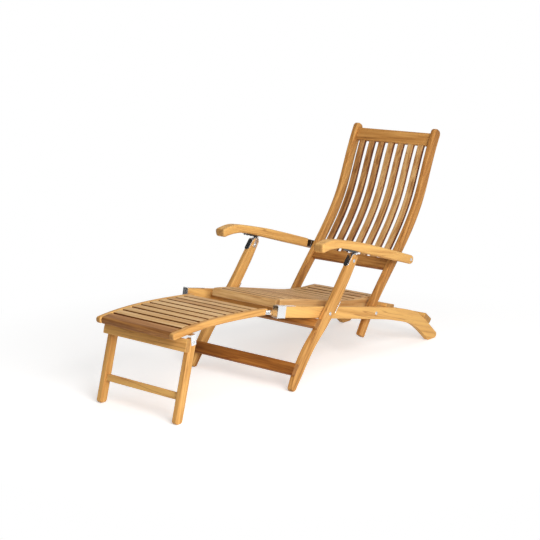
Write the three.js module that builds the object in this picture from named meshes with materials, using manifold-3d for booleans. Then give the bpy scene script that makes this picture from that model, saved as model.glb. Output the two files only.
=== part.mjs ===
// A wooden steamer deck chair with bright steel fittings, in millimetres, Z up, floor at Z = 0.
// X runs to the sitter's left and Y towards the back. Side views are drawn as (Y, Z) from the
// front legs' pivot, and the whole chair is centred on its footprint at the end.
import * as THREE from 'three';
import { mergeVertices } from 'three/addons/utils/BufferGeometryUtils.js';
import Module from 'manifold-3d';

const wasm = await Module();
wasm.setup();

// Sizes shared by many pieces
const HALF_WIDTH = 299;
const STOCK = 26;
const FIT = 0.3;
const OVERRUN = 5;

// Spaces between the layers of the frame, from the arms inwards
const ARM_OVERHANG = 9;
const LEG_WASHER = 3;
const STILE_WASHER = 2;
const FOOTREST_SPACE = 22;
const FOOTREST_LEG_STEP = 8;
const SEAT_SPACE = 11;

// In the tables, bend degrees and depth shares are given at place shares of the board's length

// Side rails, which bend down to the floor at the back
const RAIL = {
  depth: 63,
  pivotFromFront: 311,
  pivotHeight: 283,
  rearReachShare: 3.45,
  backPivotSpacing: 376,
  frontRound: 3,
  bendPlaceShares: [0, 0.578, 0.636, 0.715, 0.755, 0.79, 0.826, 0.868, 1],
  bendDegrees: [-11.2, -11.2, -14.5, -15.5, -20, -31, -36, -40, -42.5],
  depthPlaceShares: [0, 0.42, 0.62, 0.8, 1],
  depthShares: [0.73, 0.83, 0.88, 0.97, 1],
};
const FOOT_BAR = { width: 60, thickness: 26, fromEnd: 188 };
const DECK_BOARD = { width: 62, thickness: 15, behindPivot: 101 };

// Front legs, with two crossbars on their front faces
const LEG = {
  depth: 52,
  abovePivot: 285,
  footReachShare: 1.36,
  frontRound: 22,
  rearRound: 3,
  bendPlaceShares: [0, 0.04, 0.11, 0.18, 0.27, 0.34, 0.42, 0.5, 0.6, 0.75, 1],
  bendDegrees: [66, 62, 57, 54, 50, 44, 42, 44, 48, 51.5, 53.5],
  depthPlaceShares: [0, 0.06, 0.12, 0.25, 0.4, 0.5, 0.58, 0.86, 1],
  depthShares: [0.5, 0.65, 0.88, 0.94, 0.885, 0.96, 1, 0.96, 0.77],
};
const UPPER_BAR = { height: 44, thickness: 26, belowPivot: 77 };
const LOWER_BAR = { height: 51, thickness: 22, belowPivot: 290 };
const EDGE_PLATE = { length: 55, thickness: 3, abovePivot: 48 };

// The back, whose stiles and slats follow one curve
const BACK = {
  length: 1042,
  depth: 50,
  pivotFromTail: 117,
  topRound: 14,
  tailRound: 4,
  bendPlaceShares: [0, 0.08, 0.111, 0.15, 0.25, 0.34, 0.43, 0.525, 0.567, 0.607, 0.647, 0.686, 0.725,
    0.763, 0.82, 0.875, 0.914, 1],
  bendDegrees: [58.5, 57, 54.5, 50.5, 48, 47.3, 48.3, 51, 54.3, 56.5, 59.5, 63.3, 66.3,
    68.3, 68.3, 66.6, 65.3, 61],
  depthPlaceShares: [0, 0.11, 0.23, 0.36, 0.5, 0.65, 1],
  depthShares: [0.76, 0.8, 0.82, 0.88, 0.94, 0.98, 1],
};
const TOP_RAIL = { height: 60, thickness: 22, belowTop: 24, setBack: 14 };
const LUMBAR_RAIL = { height: 52, thickness: 22, fromTail: 334, setBack: 10 };
const BACK_SLAT = { count: 7, width: 34, fromStile: 24.7, thickness: 16, setBack: 15 };

// Arms, which pass outside the stiles to bolts behind them
const ARM = {
  width: 53,
  length: 684,
  depth: 43,
  boltFromEnd: 22,
  boltFromTail: 415,
  boltInsideStile: 5,
  noseRound: 14,
  endRound: 19,
  notchFromBolt: 57,
  tongue: 27,
  bendPlaceShares: [0, 0.06, 0.11, 0.16, 0.22, 0.3, 0.5, 1],
  bendDegrees: [29, 25, 17, 9, 5, 2.5, 0.5, 0],
  depthPlaceShares: [0, 0.12, 0.18, 0.28, 0.45, 0.7, 1],
  depthShares: [0.86, 0.93, 0.815, 0.84, 0.98, 1, 0.93],
};
const ARM_BRACKET = { plate: 2.5, reach: 51, behindBolt: 13, height: 32, boltPlay: 1.2 };
const RACK = {
  flange: 2,
  width: 22,
  web: 3,
  toothDepth: 2.5,
  pitch: 24,
  notches: 4,
  margin: 12,
  pinBelowArm: 9.5,
};
const STRAP = { thickness: 2.5, length: 80, ear: 3, earReach: 5, cheek: 28, boltBelowTop: 29 };

// The seat, which sits in between the rails and rises from them at the back
const SEAT = {
  length: 712,
  side: 22,
  aboveRail: 18,
  aheadOfLegPivot: 227,
  sideBelowRail: 22,
  bendPlaceShares: [0, 0.08, 0.2, 0.55, 0.64, 0.74, 0.84, 0.92, 1],
  bendDegrees: [-5, -8, -11.3, -12, -11, -7, -3, 0, -3],
};
const SEAT_APRON = { height: 34, thickness: 24 };
const SEAT_BEARER = { width: 40, height: 24, behindFront: 60 };

// Slats laid crosswise, and the batten that carries them
const SLAT = { width: 39.6, gap: 10, thickness: 14 };
const BATTEN = { width: 40, depth: 7, housing: 2 };

// The footrest, which hangs on the rails' front brackets and stands on legs of its own
const FOOTREST = {
  length: 547,
  depth: 27,
  tipRound: 11,
  hingeFromEnd: 13.5,
  hingeAhead: 9.5,
  hingeBelow: 8,
  bendPlaceShares: [0, 0.1, 0.25, 0.4, 0.55, 0.7, 0.85, 1],
  bendDegrees: [9, 5.5, 2.5, 0, -1.8, -3.2, -4.3, -4.5],
};
const FRONT_SLAT = { width: 56, setBack: 7, round: 13 };
const FOOTREST_LEG = {
  depth: 37,
  leanDegrees: 74.6,
  fromTip: 95,
  belowRail: 31,
  abovePivot: 15,
  topRound: 10,
};
const FOOTREST_APRON = { height: 50, thickness: 22, overhang: 4, abovePivot: 9 };
const STRETCHER = { height: 28, thickness: 18, belowPivot: 226 };
const LEG_PLATE = { thickness: 2, width: 26, belowPivot: 12, underRail: 20 };
const FOOT_ROUND = 12;

// Steel brackets and bolts
const END_BRACKET = { plate: 2, length: 50, inset: 6, lugHalfLength: 8, lugBelow: 10 };
const BOLT = { radius: 4, headRadius: 8, head: 2.4, domeShare: 0.7, nutRadius: 7, nut: 4 };
const PIN = { radius: 3, headRadius: 5, head: 1.8 };

const STATIONS = 18;
const ROUND_STEPS = 4;
const CURVE_STEPS = 240;
const SOLVING_STEPS = 12;
const PIN_SIDES = 16;

const WOOD = { color: 0xc8904f, roughness: 0.6, metalness: 0 };
const STEEL = { color: 0xc9cdd1, roughness: 0.25, metalness: 1 };

// A layer is the space that a board takes on the left side, and it is mirrored on the right
const layer = (outer, thickness) => ({ outer, inner: outer - thickness });
const ARM_X = layer(HALF_WIDTH, ARM.width);
const LEG_X = layer(HALF_WIDTH - ARM_OVERHANG, STOCK);
const RAIL_X = layer(LEG_X.inner - LEG_WASHER, STOCK);
const STILE_X = layer(RAIL_X.inner - STILE_WASHER, STOCK);
const FOOTREST_X = layer(RAIL_X.inner - FOOTREST_SPACE, STOCK);
const FOOTREST_LEG_X = layer(FOOTREST_X.outer + FOOTREST_LEG_STEP, STOCK);
const SEAT_X = layer(FOOTREST_X.inner - SEAT_SPACE, SEAT.side);

const AXES = {
  x: new THREE.Vector3(1, 0, 0),
  y: new THREE.Vector3(0, 1, 0),
  z: new THREE.Vector3(0, 0, 1),
  down: new THREE.Vector3(0, 0, -1),
};

const chair = new THREE.Group();

// Side view geometry, where a point is a Vector2 of (Y, Z)
const flat = (y, z) => new THREE.Vector2(y, z);
const leftOf = (direction) => flat(-direction.y, direction.x);

function heading(degrees) {
  const angle = THREE.MathUtils.degToRad(degrees);
  return flat(Math.cos(angle), Math.sin(angle));
}

function moved(point, ...steps) {
  const result = point.clone();
  steps.forEach(([direction, distance]) => result.addScaledVector(direction, distance));
  return result;
}

// Reads a table of values given at rising places, straight in between
function graded(places, values, share) {
  const next = places.findIndex((place) => place >= share);
  if (next === 0) return values[0];
  if (next < 0) return values[values.length - 1];
  return THREE.MathUtils.mapLinear(share, places[next - 1], places[next], values[next - 1], values[next]);
}

// A board whose middle line turns by its table, read over a run, and passes through a point
function bentBoard(size, length, through, distance, { turn = 0, run = length } = {}) {
  const { bendPlaceShares, bendDegrees, depthPlaceShares = [0], depthShares = [1] } = size;
  const step = length / CURVE_STEPS;
  const along = (from) => heading(turn + graded(bendPlaceShares, bendDegrees, from / run));
  const points = [flat(0, 0)];
  for (let i = 0; i < CURVE_STEPS; i += 1) {
    points.push(moved(points[i], [along((i + 1 / 2) * step), step]));
  }
  const pointAt = (from) => {
    const index = THREE.MathUtils.clamp(Math.floor(from / step), 0, CURVE_STEPS - 1);
    return points[index].clone().lerp(points[index + 1], from / step - index);
  };
  const shift = through.clone().sub(pointAt(distance));
  const at = (from) => ({
    point: pointAt(from).add(shift), along: along(from), across: leftOf(along(from)),
  });
  const depthAt = (from) => size.depth * graded(depthPlaceShares, depthShares, from / run);
  return { length, at, depthAt };
}

// The frame on a long edge of a board: side is 1 for its upper or front edge, -1 for the other
function edgeFrame(board, from, side) {
  const on = (distance) => {
    const { point, across } = board.at(distance);
    return moved(point, [across, side * board.depthAt(distance) / 2]);
  };
  const reach = board.length / CURVE_STEPS;
  const along = on(from + reach).sub(on(from - reach)).normalize();
  return { point: on(from), along, across: leftOf(along) };
}

// The place along an edge that lies square to a point
function placeBeside(board, side, point, start) {
  let place = start;
  for (let i = 0; i < SOLVING_STEPS; i += 1) {
    const frame = edgeFrame(board, place, side);
    place += point.clone().sub(frame.point).dot(frame.along);
  }
  return place;
}

// The arc round a corner at the start (end is -1) or the end (end is 1) of a board
function cornerArc(board, from, side, end, radius, offset = 0) {
  const inset = from - end * radius;
  const { point, along, across } = board.at(inset);
  const centre = moved(point, [across, side * (board.depthAt(inset) / 2 - radius)]);
  const arc = [];
  for (let i = 0; i <= ROUND_STEPS; i += 1) {
    const angle = (Math.PI / 2) * (i / ROUND_STEPS);
    const out = radius + offset;
    arc.push(moved(centre, [across, side * Math.cos(angle) * out], [along, end * Math.sin(angle) * out]));
  }
  return arc;
}

// A strip along a board, moved across it, with a radius at its lower and upper corners
function stripOutline(board, options = {}) {
  const { from = 0, to = board.length, startRounds = [0, 0], endRounds = [0, 0] } = options;
  const { depth = board.depthAt, shift = () => 0, stations = STATIONS } = options;
  const edge = (side, startRound, endRound) => {
    const points = [];
    for (let i = 0; i <= stations; i += 1) {
      const distance = THREE.MathUtils.mapLinear(i, 0, stations, from + startRound, to - endRound);
      const { point, across } = board.at(distance);
      points.push(moved(point, [across, shift(distance) + side * depth(distance) / 2]));
    }
    return points;
  };
  const corner = (side, end, radius) => {
    if (radius === 0) return [];
    return cornerArc({ ...board, depthAt: depth }, end > 0 ? to : from, side, end, radius).slice(1);
  };
  return [
    ...edge(-1, startRounds[0], endRounds[0]),
    ...corner(-1, 1, endRounds[0]),
    ...corner(1, 1, endRounds[1]).reverse(),
    ...edge(1, startRounds[1], endRounds[1]).reverse(),
    ...corner(1, -1, startRounds[1]),
    ...corner(-1, -1, startRounds[0]).reverse(),
  ];
}

// Rounds one corner of an outline, between the points before and after it
function rounded(before, corner, after, radius) {
  const towards = (goal) => {
    const way = goal.clone().sub(corner);
    return moved(corner, [way.clone().normalize(), Math.min(radius, way.length() / 2)]);
  };
  return new THREE.QuadraticBezierCurve(towards(before), corner, towards(after)).getPoints(ROUND_STEPS);
}

// Cuts an outline level with the floor and rounds the two corners that this makes
function standOnFloor(points, radius) {
  const standing = [];
  points.forEach((point, index) => {
    const next = points[(index + 1) % points.length];
    if (point.y > 0) standing.push({ point, cut: false });
    if ((point.y > 0) !== (next.y > 0)) {
      standing.push({ point: point.clone().lerp(next, point.y / (point.y - next.y)), cut: true });
    }
  });
  const size = standing.length;
  return standing.flatMap(({ point, cut }, index) => {
    if (!cut) return [point];
    const before = standing[(index + size - 1) % size].point;
    const after = standing[(index + 1) % size].point;
    return rounded(before, point, after, radius);
  });
}

// A side view pushed out between two places across the chair, with round holes through it
function plank(outline, { inner, outer }, holes = []) {
  const shape = new THREE.Shape(outline);
  shape.holes = holes.map(({ centre, radius }) => {
    const rim = [];
    for (let i = 0; i < PIN_SIDES; i += 1) {
      rim.push(moved(centre, [heading(360 * i / PIN_SIDES), radius]));
    }
    return new THREE.Path(rim);
  });
  const geometry = new THREE.ExtrudeGeometry(shape, { depth: outer - inner, bevelEnabled: false });
  geometry.applyMatrix4(new THREE.Matrix4().makeBasis(AXES.y, AXES.z, AXES.x));
  return geometry.translate(inner, 0, 0);
}

// A square block drawn in a frame: its spans along and across the frame, and its layer
function slab({ point, along, across }, [back, front], [low, high], space) {
  const corners = [[back, low], [front, low], [front, high], [back, high]];
  return plank(corners.map(([far, up]) => moved(point, [along, far], [across, up])), space);
}

// A turned piece with its axis across the chair, from rows of a place on X and a radius
function turnedPin(centre, rows) {
  const last = rows[rows.length - 1];
  const profile = [
    flat(0, rows[0][0]),
    ...rows.map(([place, radius]) => flat(radius, place)),
    flat(0, last[0]),
  ];
  const geometry = new THREE.LatheGeometry(profile, PIN_SIDES);
  geometry.applyMatrix4(new THREE.Matrix4().makeBasis(AXES.y, AXES.x, AXES.down));
  return geometry.translate(0, centre.x, centre.y);
}

// Boolean joins and cuts
function solid(geometry) {
  const bare = geometry.clone();
  bare.deleteAttribute('normal');
  bare.deleteAttribute('uv');
  const merged = mergeVertices(bare);
  const vertProperties = new Float32Array(merged.attributes.position.array);
  const triVerts = new Uint32Array(merged.index.array);
  return new wasm.Manifold(new wasm.Mesh({ numProp: 3, vertProperties, triVerts }));
}

function geometryOf(manifold) {
  const { vertProperties, triVerts } = manifold.getMesh();
  const geometry = new THREE.BufferGeometry();
  geometry.setAttribute('position', new THREE.BufferAttribute(vertProperties, 3));
  geometry.setIndex(new THREE.BufferAttribute(triVerts, 1));
  geometry.computeVertexNormals();
  return geometry;
}

function joined(...pieces) {
  return geometryOf(pieces.map(solid).reduce((sum, piece) => sum.add(piece)));
}

function cut(whole, ...tools) {
  return geometryOf(tools.map(solid).reduce((left, tool) => left.subtract(tool), solid(whole)));
}

function mirrored(geometry) {
  const other = geometry.clone().scale(-1, 1, 1);
  if (!other.index) other.setIndex([...Array(other.attributes.position.count).keys()]);
  const order = other.index.array;
  for (let i = 0; i < order.length; i += 3) {
    [order[i + 1], order[i + 2]] = [order[i + 2], order[i + 1]];
  }
  other.computeVertexNormals();
  return other;
}

function add(name, geometry, finish) {
  const mesh = new THREE.Mesh(geometry, new THREE.MeshStandardMaterial(finish));
  mesh.name = name;
  chair.add(mesh);
}

function addPair(name, geometry, finish) {
  add(`${name}_left`, geometry, finish);
  add(`${name}_right`, mirrored(geometry), finish);
}

const fullWidth = (half) => ({ inner: -half, outer: half });
const boltHole = (centre) => ({ centre, radius: BOLT.radius + FIT });
const pinHole = (centre) => ({ centre, radius: PIN.radius + FIT });

// The boards' curves and the places of the pivots
const legPivot = flat(0, RAIL.pivotHeight);
const railLength = RAIL.pivotFromFront + RAIL.pivotHeight * RAIL.rearReachShare;
const rail = bentBoard(RAIL, railLength, legPivot, RAIL.pivotFromFront);
const railFront = rail.at(0);
const backPivot = rail.at(RAIL.pivotFromFront + RAIL.backPivotSpacing).point;

const legBelow = RAIL.pivotHeight * LEG.footReachShare;
const leg = bentBoard(LEG, legBelow + LEG.abovePivot, legPivot, legBelow);
const legTop = leg.at(leg.length);
const strapBolt = leg.at(leg.length - STRAP.boltBelowTop).point;
const rackPin = moved(legTop.point, [legTop.along, FIT + STRAP.thickness + PIN.radius]);

const stile = bentBoard(BACK, BACK.length, backPivot, BACK.pivotFromTail);
const stileAtArm = edgeFrame(stile, ARM.boltFromTail, -1);
const armBolt = moved(stileAtArm.point, [stileAtArm.across, ARM.boltInsideStile]);
const arm = restingArm();

const seatFrame = edgeFrame(rail, RAIL.pivotFromFront, 1);
const seatPoint = moved(seatFrame.point, [seatFrame.across, SEAT.aboveRail]);
const seatRun = SEAT.aheadOfLegPivot + RAIL.backPivotSpacing + DECK_BOARD.behindPivot;
const seat = bentBoard(
  { ...SEAT, depth: 0 }, SEAT.length, seatPoint, SEAT.aheadOfLegPivot, { run: seatRun });

const hinge = moved(
  railFront.point,
  [railFront.along, -FOOTREST.hingeAhead],
  [railFront.across, -FOOTREST.hingeBelow],
);
const footrest = bentBoard(FOOTREST, FOOTREST.length, hinge, FOOTREST.length - FOOTREST.hingeFromEnd);
const underFootrest = edgeFrame(footrest, FOOTREST_LEG.fromTip, -1);
const footLegPivot = moved(underFootrest.point, [underFootrest.across, -FOOTREST_LEG.belowRail]);
const footLegHeading = heading(FOOTREST_LEG.leanDegrees);
const footLegFrame = { point: footLegPivot, along: footLegHeading, across: leftOf(footLegHeading) };

// The arm turns on its bolt until its rack rests on the pin at the leg's top
function restingArm() {
  let turn = 0;
  let board;
  for (let i = 0; i < SOLVING_STEPS; i += 1) {
    board = bentBoard(ARM, ARM.length, armBolt, ARM.length - ARM.boltFromEnd, { turn });
    const under = edgeFrame(board, placeBeside(board, -1, rackPin, ARM.length / 2), -1);
    const drop = under.point.clone().sub(rackPin).dot(under.across) - RACK.pinBelowArm;
    turn += THREE.MathUtils.radToDeg(Math.atan2(drop, rackPin.distanceTo(armBolt)));
  }
  return board;
}

function boltThrough(centre, inside, outside) {
  return turnedPin(centre, [
    [inside - BOLT.nut, BOLT.nutRadius],
    [inside, BOLT.nutRadius],
    [inside, BOLT.radius],
    [outside, BOLT.radius],
    [outside, BOLT.headRadius],
    [outside + BOLT.head, BOLT.headRadius * BOLT.domeShare],
  ]);
}

function addSideRails() {
  const strip = stripOutline(rail, {
    startRounds: [RAIL.frontRound, RAIL.frontRound],
    stations: STATIONS * 2,
  });
  const outline = standOnFloor(strip, RAIL.frontRound);
  addPair('side_rail', plank(outline, RAIL_X, [boltHole(legPivot), boltHole(backPivot)]), WOOD);
}

function addCrossBoards() {
  const lay = (frame, { width, thickness }) => slab(frame, [-width / 2, width / 2], [FIT, FIT + thickness],
    fullWidth(RAIL_X.outer));
  add('rear_foot_bar', lay(edgeFrame(rail, rail.length - FOOT_BAR.fromEnd, 1), FOOT_BAR), WOOD);
  add('rear_deck_board', lay(deckFrame(), DECK_BOARD), WOOD);
}

function deckFrame() {
  return edgeFrame(rail, RAIL.pivotFromFront + RAIL.backPivotSpacing + DECK_BOARD.behindPivot, 1);
}

// A steel channel over each rail's front end, with a lug that carries the footrest
function addRailBrackets() {
  const half = rail.depthAt(END_BRACKET.length) / 2 + 2 * FIT;
  const skin = half + END_BRACKET.plate;
  const front = [-FIT - END_BRACKET.plate, -FIT];
  const run = [front[0], END_BRACKET.length];
  const side = { inner: RAIL_X.outer + FIT, outer: RAIL_X.outer + FIT + END_BRACKET.plate };
  const lugX = { inner: FOOTREST_X.outer + FIT, outer: FOOTREST_X.outer + FIT + END_BRACKET.plate };
  const flangeX = { inner: RAIL_X.inner + END_BRACKET.inset, outer: side.outer };
  const lug = [
    -FOOTREST.hingeBelow - END_BRACKET.lugBelow,
    -FOOTREST.hingeBelow + END_BRACKET.lugHalfLength,
  ];
  const channel = joined(
    slab(railFront, run, [-skin, skin], side),
    slab(railFront, run, [half, skin], flangeX),
    slab(railFront, run, [-skin, -half], flangeX),
    slab(railFront, front, [-skin, skin], { inner: RAIL_X.inner, outer: side.outer }),
    slab(railFront, front, lug, { inner: lugX.inner, outer: RAIL_X.inner + END_BRACKET.inset }),
    slab(railFront, [-FOOTREST.hingeAhead - END_BRACKET.lugHalfLength, front[1]], lug, lugX),
  );
  const bore = PIN.radius + FIT;
  const hole = turnedPin(hinge, [[lugX.inner - OVERRUN, bore], [lugX.outer + OVERRUN, bore]]);
  addPair('rail_end_bracket', cut(channel, hole), STEEL);
  addPair('footrest_hinge_pin', turnedPin(hinge, [
    [FOOTREST_X.inner + FIT, PIN.radius],
    [lugX.outer + FIT, PIN.radius],
    [lugX.outer + FIT, PIN.headRadius],
    [lugX.outer + FIT + PIN.head, PIN.headRadius],
  ]), STEEL);
}

function addSeat() {
  const front = SEAT_APRON.thickness + FIT;
  const apronFoot = moved(seat.at(front).point, [seat.at(front).across, -SEAT_APRON.height]);
  const apron = [apronFoot, seat.at(front).point]
    .map((point) => moved(point, [seat.at(front).along, -FIT]));
  const nose = apron.map((point) => moved(point, [seat.at(front).along, -SEAT_APRON.thickness]));
  const rounds = rounded(apron[1], nose[1], nose[0], SEAT_APRON.thickness / 2);
  add('seat_apron', plank([...apron, ...rounds, nose[0]], fullWidth(SEAT_X.outer)), WOOD);
  addPair('seat_side', plank(seatSideOutline(front, apronFoot), SEAT_X), WOOD);

  const bearer = moved(
    seatFrame.point,
    [seatFrame.along, SEAT_BEARER.behindFront - SEAT.aheadOfLegPivot],
    [seatFrame.across, -SEAT.sideBelowRail - 2 * FIT],
  );
  add('seat_bearer', slab({ ...seatFrame, point: bearer }, [0, SEAT_BEARER.width], [-SEAT_BEARER.height, 0],
    fullWidth(RAIL_X.inner - FIT)), WOOD);
  add('seat_slats', slatPanel(seat, 0, SEAT_X.inner - FIT, front, SEAT.length), WOOD);
}

// The seat's sides hang below the rails' tops and are notched over the deck board at the back
function seatSideOutline(front, apronFoot) {
  const onRail = (point) => {
    const reach = point.clone().sub(seatFrame.point).dot(seatFrame.along);
    return moved(seatFrame.point, [seatFrame.along, reach], [seatFrame.across, -SEAT.sideBelowRail]);
  };
  const deck = deckFrame();
  const onDeck = (distance) => moved(deck.point, [deck.along, distance],
    [deck.across, DECK_BOARD.thickness + 2 * FIT]);
  const notch = onDeck(-DECK_BOARD.width / 2 - OVERRUN);
  const crest = [];
  for (let i = 0; i <= STATIONS; i += 1) {
    crest.push(seat.at(THREE.MathUtils.mapLinear(i, 0, STATIONS, front, SEAT.length)).point);
  }
  const rear = crest[STATIONS].clone().sub(deck.point).dot(deck.along);
  return [apronFoot, onRail(apronFoot), onRail(notch), notch, onDeck(rear), ...crest.reverse()];
}

// Cross slats flush with a board's top edge, joined by a batten under their middle
function slatPanel(board, topDepth, halfWidth, from, to) {
  const pitch = SLAT.width + SLAT.gap;
  const first = from + SLAT.gap;
  const count = Math.round((to - first) / pitch);
  const slats = [];
  for (let i = 0; i < count; i += 1) {
    const start = first + i * pitch;
    slats.push(plank(stripOutline(board, {
      from: start,
      to: Math.min(start + SLAT.width, to),
      depth: () => SLAT.thickness,
      shift: () => topDepth / 2 - SLAT.thickness / 2,
      stations: 1,
    }), fullWidth(halfWidth)));
  }
  const batten = stripOutline(board, {
    from: first + SLAT.gap,
    to: first + (count - 1) * pitch + SLAT.gap,
    depth: () => BATTEN.depth,
    shift: () => topDepth / 2 - SLAT.thickness - BATTEN.depth / 2 + BATTEN.housing,
    stations: count,
  });
  return joined(plank(batten, fullWidth(BATTEN.width / 2)), ...slats);
}

function addFrontLegs() {
  const strip = stripOutline(leg, { endRounds: [LEG.rearRound, LEG.frontRound], stations: STATIONS * 2 });
  const outline = standOnFloor(strip, FOOT_ROUND);
  addPair('front_leg', plank(outline, LEG_X, [boltHole(legPivot), boltHole(strapBolt)]), WOOD);
  addPair('leg_pivot_bolt', boltThrough(legPivot, RAIL_X.inner - FIT, LEG_X.outer + FIT), STEEL);

  const lower = edgeFrame(leg, legBelow - LOWER_BAR.belowPivot, 1);
  add('lower_crossbar', slab(lower, [-LOWER_BAR.height / 2, LOWER_BAR.height / 2],
    [2 * FIT, 2 * FIT + LOWER_BAR.thickness], fullWidth(LEG_X.outer)), WOOD);
  add('upper_crossbar', plank(upperBarOutline(), fullWidth(LEG_X.outer)), WOOD);

  const rear = edgeFrame(leg, legBelow + EDGE_PLATE.abovePivot, -1);
  addPair('leg_edge_plate', slab(rear, [-EDGE_PLATE.length / 2, EDGE_PLATE.length / 2],
    [-2 * FIT - EDGE_PLATE.thickness, -2 * FIT], LEG_X), STEEL);
}

// The upper crossbar's top is planed to the rails' underside, which rests on it
function upperBarOutline() {
  const face = edgeFrame(leg, legBelow - UPPER_BAR.belowPivot, 1);
  const under = edgeFrame(rail, RAIL.pivotFromFront - UPPER_BAR.belowPivot, -1);
  const foot = (out) => moved(face.point, [face.along, -UPPER_BAR.height / 2], [face.across, out]);
  const head = (start) => {
    const room = -FIT - start.clone().sub(under.point).dot(under.across);
    return moved(start, [face.along, room / face.along.dot(under.across)]);
  };
  const near = foot(2 * FIT);
  const far = foot(2 * FIT + UPPER_BAR.thickness);
  return [near, head(near), head(far), far];
}

// The strap goes up the front face of the leg and over its round top
function strapLine(offset) {
  const line = [];
  const stations = STATIONS / 3;
  for (let i = 0; i < stations; i += 1) {
    const distance = THREE.MathUtils.mapLinear(i, 0, stations, leg.length - STRAP.length,
      leg.length - LEG.frontRound);
    const { point, across } = leg.at(distance);
    line.push(moved(point, [across, leg.depthAt(distance) / 2 + offset]));
  }
  line.push(...cornerArc(leg, leg.length, 1, 1, LEG.frontRound, offset));
  line.push(moved(legTop.point, [legTop.along, offset], [legTop.across, -STRAP.earReach]));
  return line;
}

function addLegTops() {
  const band = plank([...strapLine(2 * FIT), ...strapLine(2 * FIT + STRAP.thickness).reverse()], LEG_X);
  const base = { ...legTop, point: rackPin };
  const ear = (space) => joined(
    slab(base, [-PIN.radius - STRAP.thickness / 2, 0], [-STRAP.earReach, STRAP.earReach], space),
    turnedPin(rackPin, [[space.inner, STRAP.earReach], [space.outer, STRAP.earReach]]),
  );
  const cheekX = { inner: LEG_X.inner - FIT - STRAP.thickness, outer: LEG_X.inner - FIT };
  const cheekSpan = [STRAP.earReach - STRAP.cheek / 2, STRAP.cheek / 2 - STRAP.earReach];
  const top = [2 * FIT, 2 * FIT + STRAP.thickness];
  const cheek = slab(legTop, [-STRAP.boltBelowTop - STRAP.cheek / 2, top[1]], cheekSpan, cheekX);
  const fold = slab(legTop, top, [cheekSpan[0], 0], { inner: cheekX.inner, outer: LEG_X.inner + OVERRUN });
  const bore = BOLT.radius + FIT;
  const hole = turnedPin(strapBolt, [[cheekX.inner - OVERRUN, bore], [cheekX.outer + OVERRUN, bore]]);
  const pin = turnedPin(rackPin, [[LEG_X.inner, PIN.radius], [LEG_X.outer, PIN.radius]]);
  const strap = joined(
    band,
    ear({ inner: LEG_X.inner, outer: LEG_X.inner + STRAP.ear }),
    ear({ inner: LEG_X.outer - STRAP.ear, outer: LEG_X.outer }),
    cut(cheek, hole),
    fold,
    pin,
  );
  addPair('leg_top_strap', strap, STEEL);
  addPair('strap_bolt', boltThrough(strapBolt, cheekX.inner - FIT, LEG_X.outer + FIT), STEEL);
}

function addBack() {
  const outline = stripOutline(stile, {
    startRounds: [BACK.tailRound, BACK.tailRound],
    endRounds: [BACK.topRound, BACK.topRound],
    stations: STATIONS * 2,
  });
  addPair('back_stile', plank(outline, STILE_X, [boltHole(backPivot)]), WOOD);
  addPair('back_pivot_bolt', boltThrough(backPivot, STILE_X.inner - FIT, RAIL_X.outer + FIT), STEEL);

  const between = fullWidth(STILE_X.inner - FIT);
  const crossRail = (from, { height, thickness, setBack }) => plank(stripOutline(stile, {
    from,
    to: from + height,
    depth: () => thickness,
    shift: (distance) => (stile.depthAt(distance) - thickness) / 2 - setBack,
    stations: 3,
  }), between);
  const topFrom = BACK.length - TOP_RAIL.belowTop - TOP_RAIL.height;
  add('lumbar_rail', crossRail(LUMBAR_RAIL.fromTail, LUMBAR_RAIL), WOOD);
  add('top_rail', crossRail(topFrom, TOP_RAIL), WOOD);

  const slat = stripOutline(stile, {
    from: LUMBAR_RAIL.fromTail + LUMBAR_RAIL.height + FIT,
    to: topFrom - FIT,
    depth: () => BACK_SLAT.thickness,
    shift: (distance) => (stile.depthAt(distance) - BACK_SLAT.thickness) / 2 - BACK_SLAT.setBack,
  });
  const outermost = between.outer - BACK_SLAT.fromStile - BACK_SLAT.width / 2;
  for (let i = 0; i < BACK_SLAT.count; i += 1) {
    const middle = THREE.MathUtils.mapLinear(i, 0, BACK_SLAT.count - 1, -outermost, outermost);
    const space = { inner: middle - BACK_SLAT.width / 2, outer: middle + BACK_SLAT.width / 2 };
    add(`back_slat_${i + 1}`, plank(slat, space), WOOD);
  }
}

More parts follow.
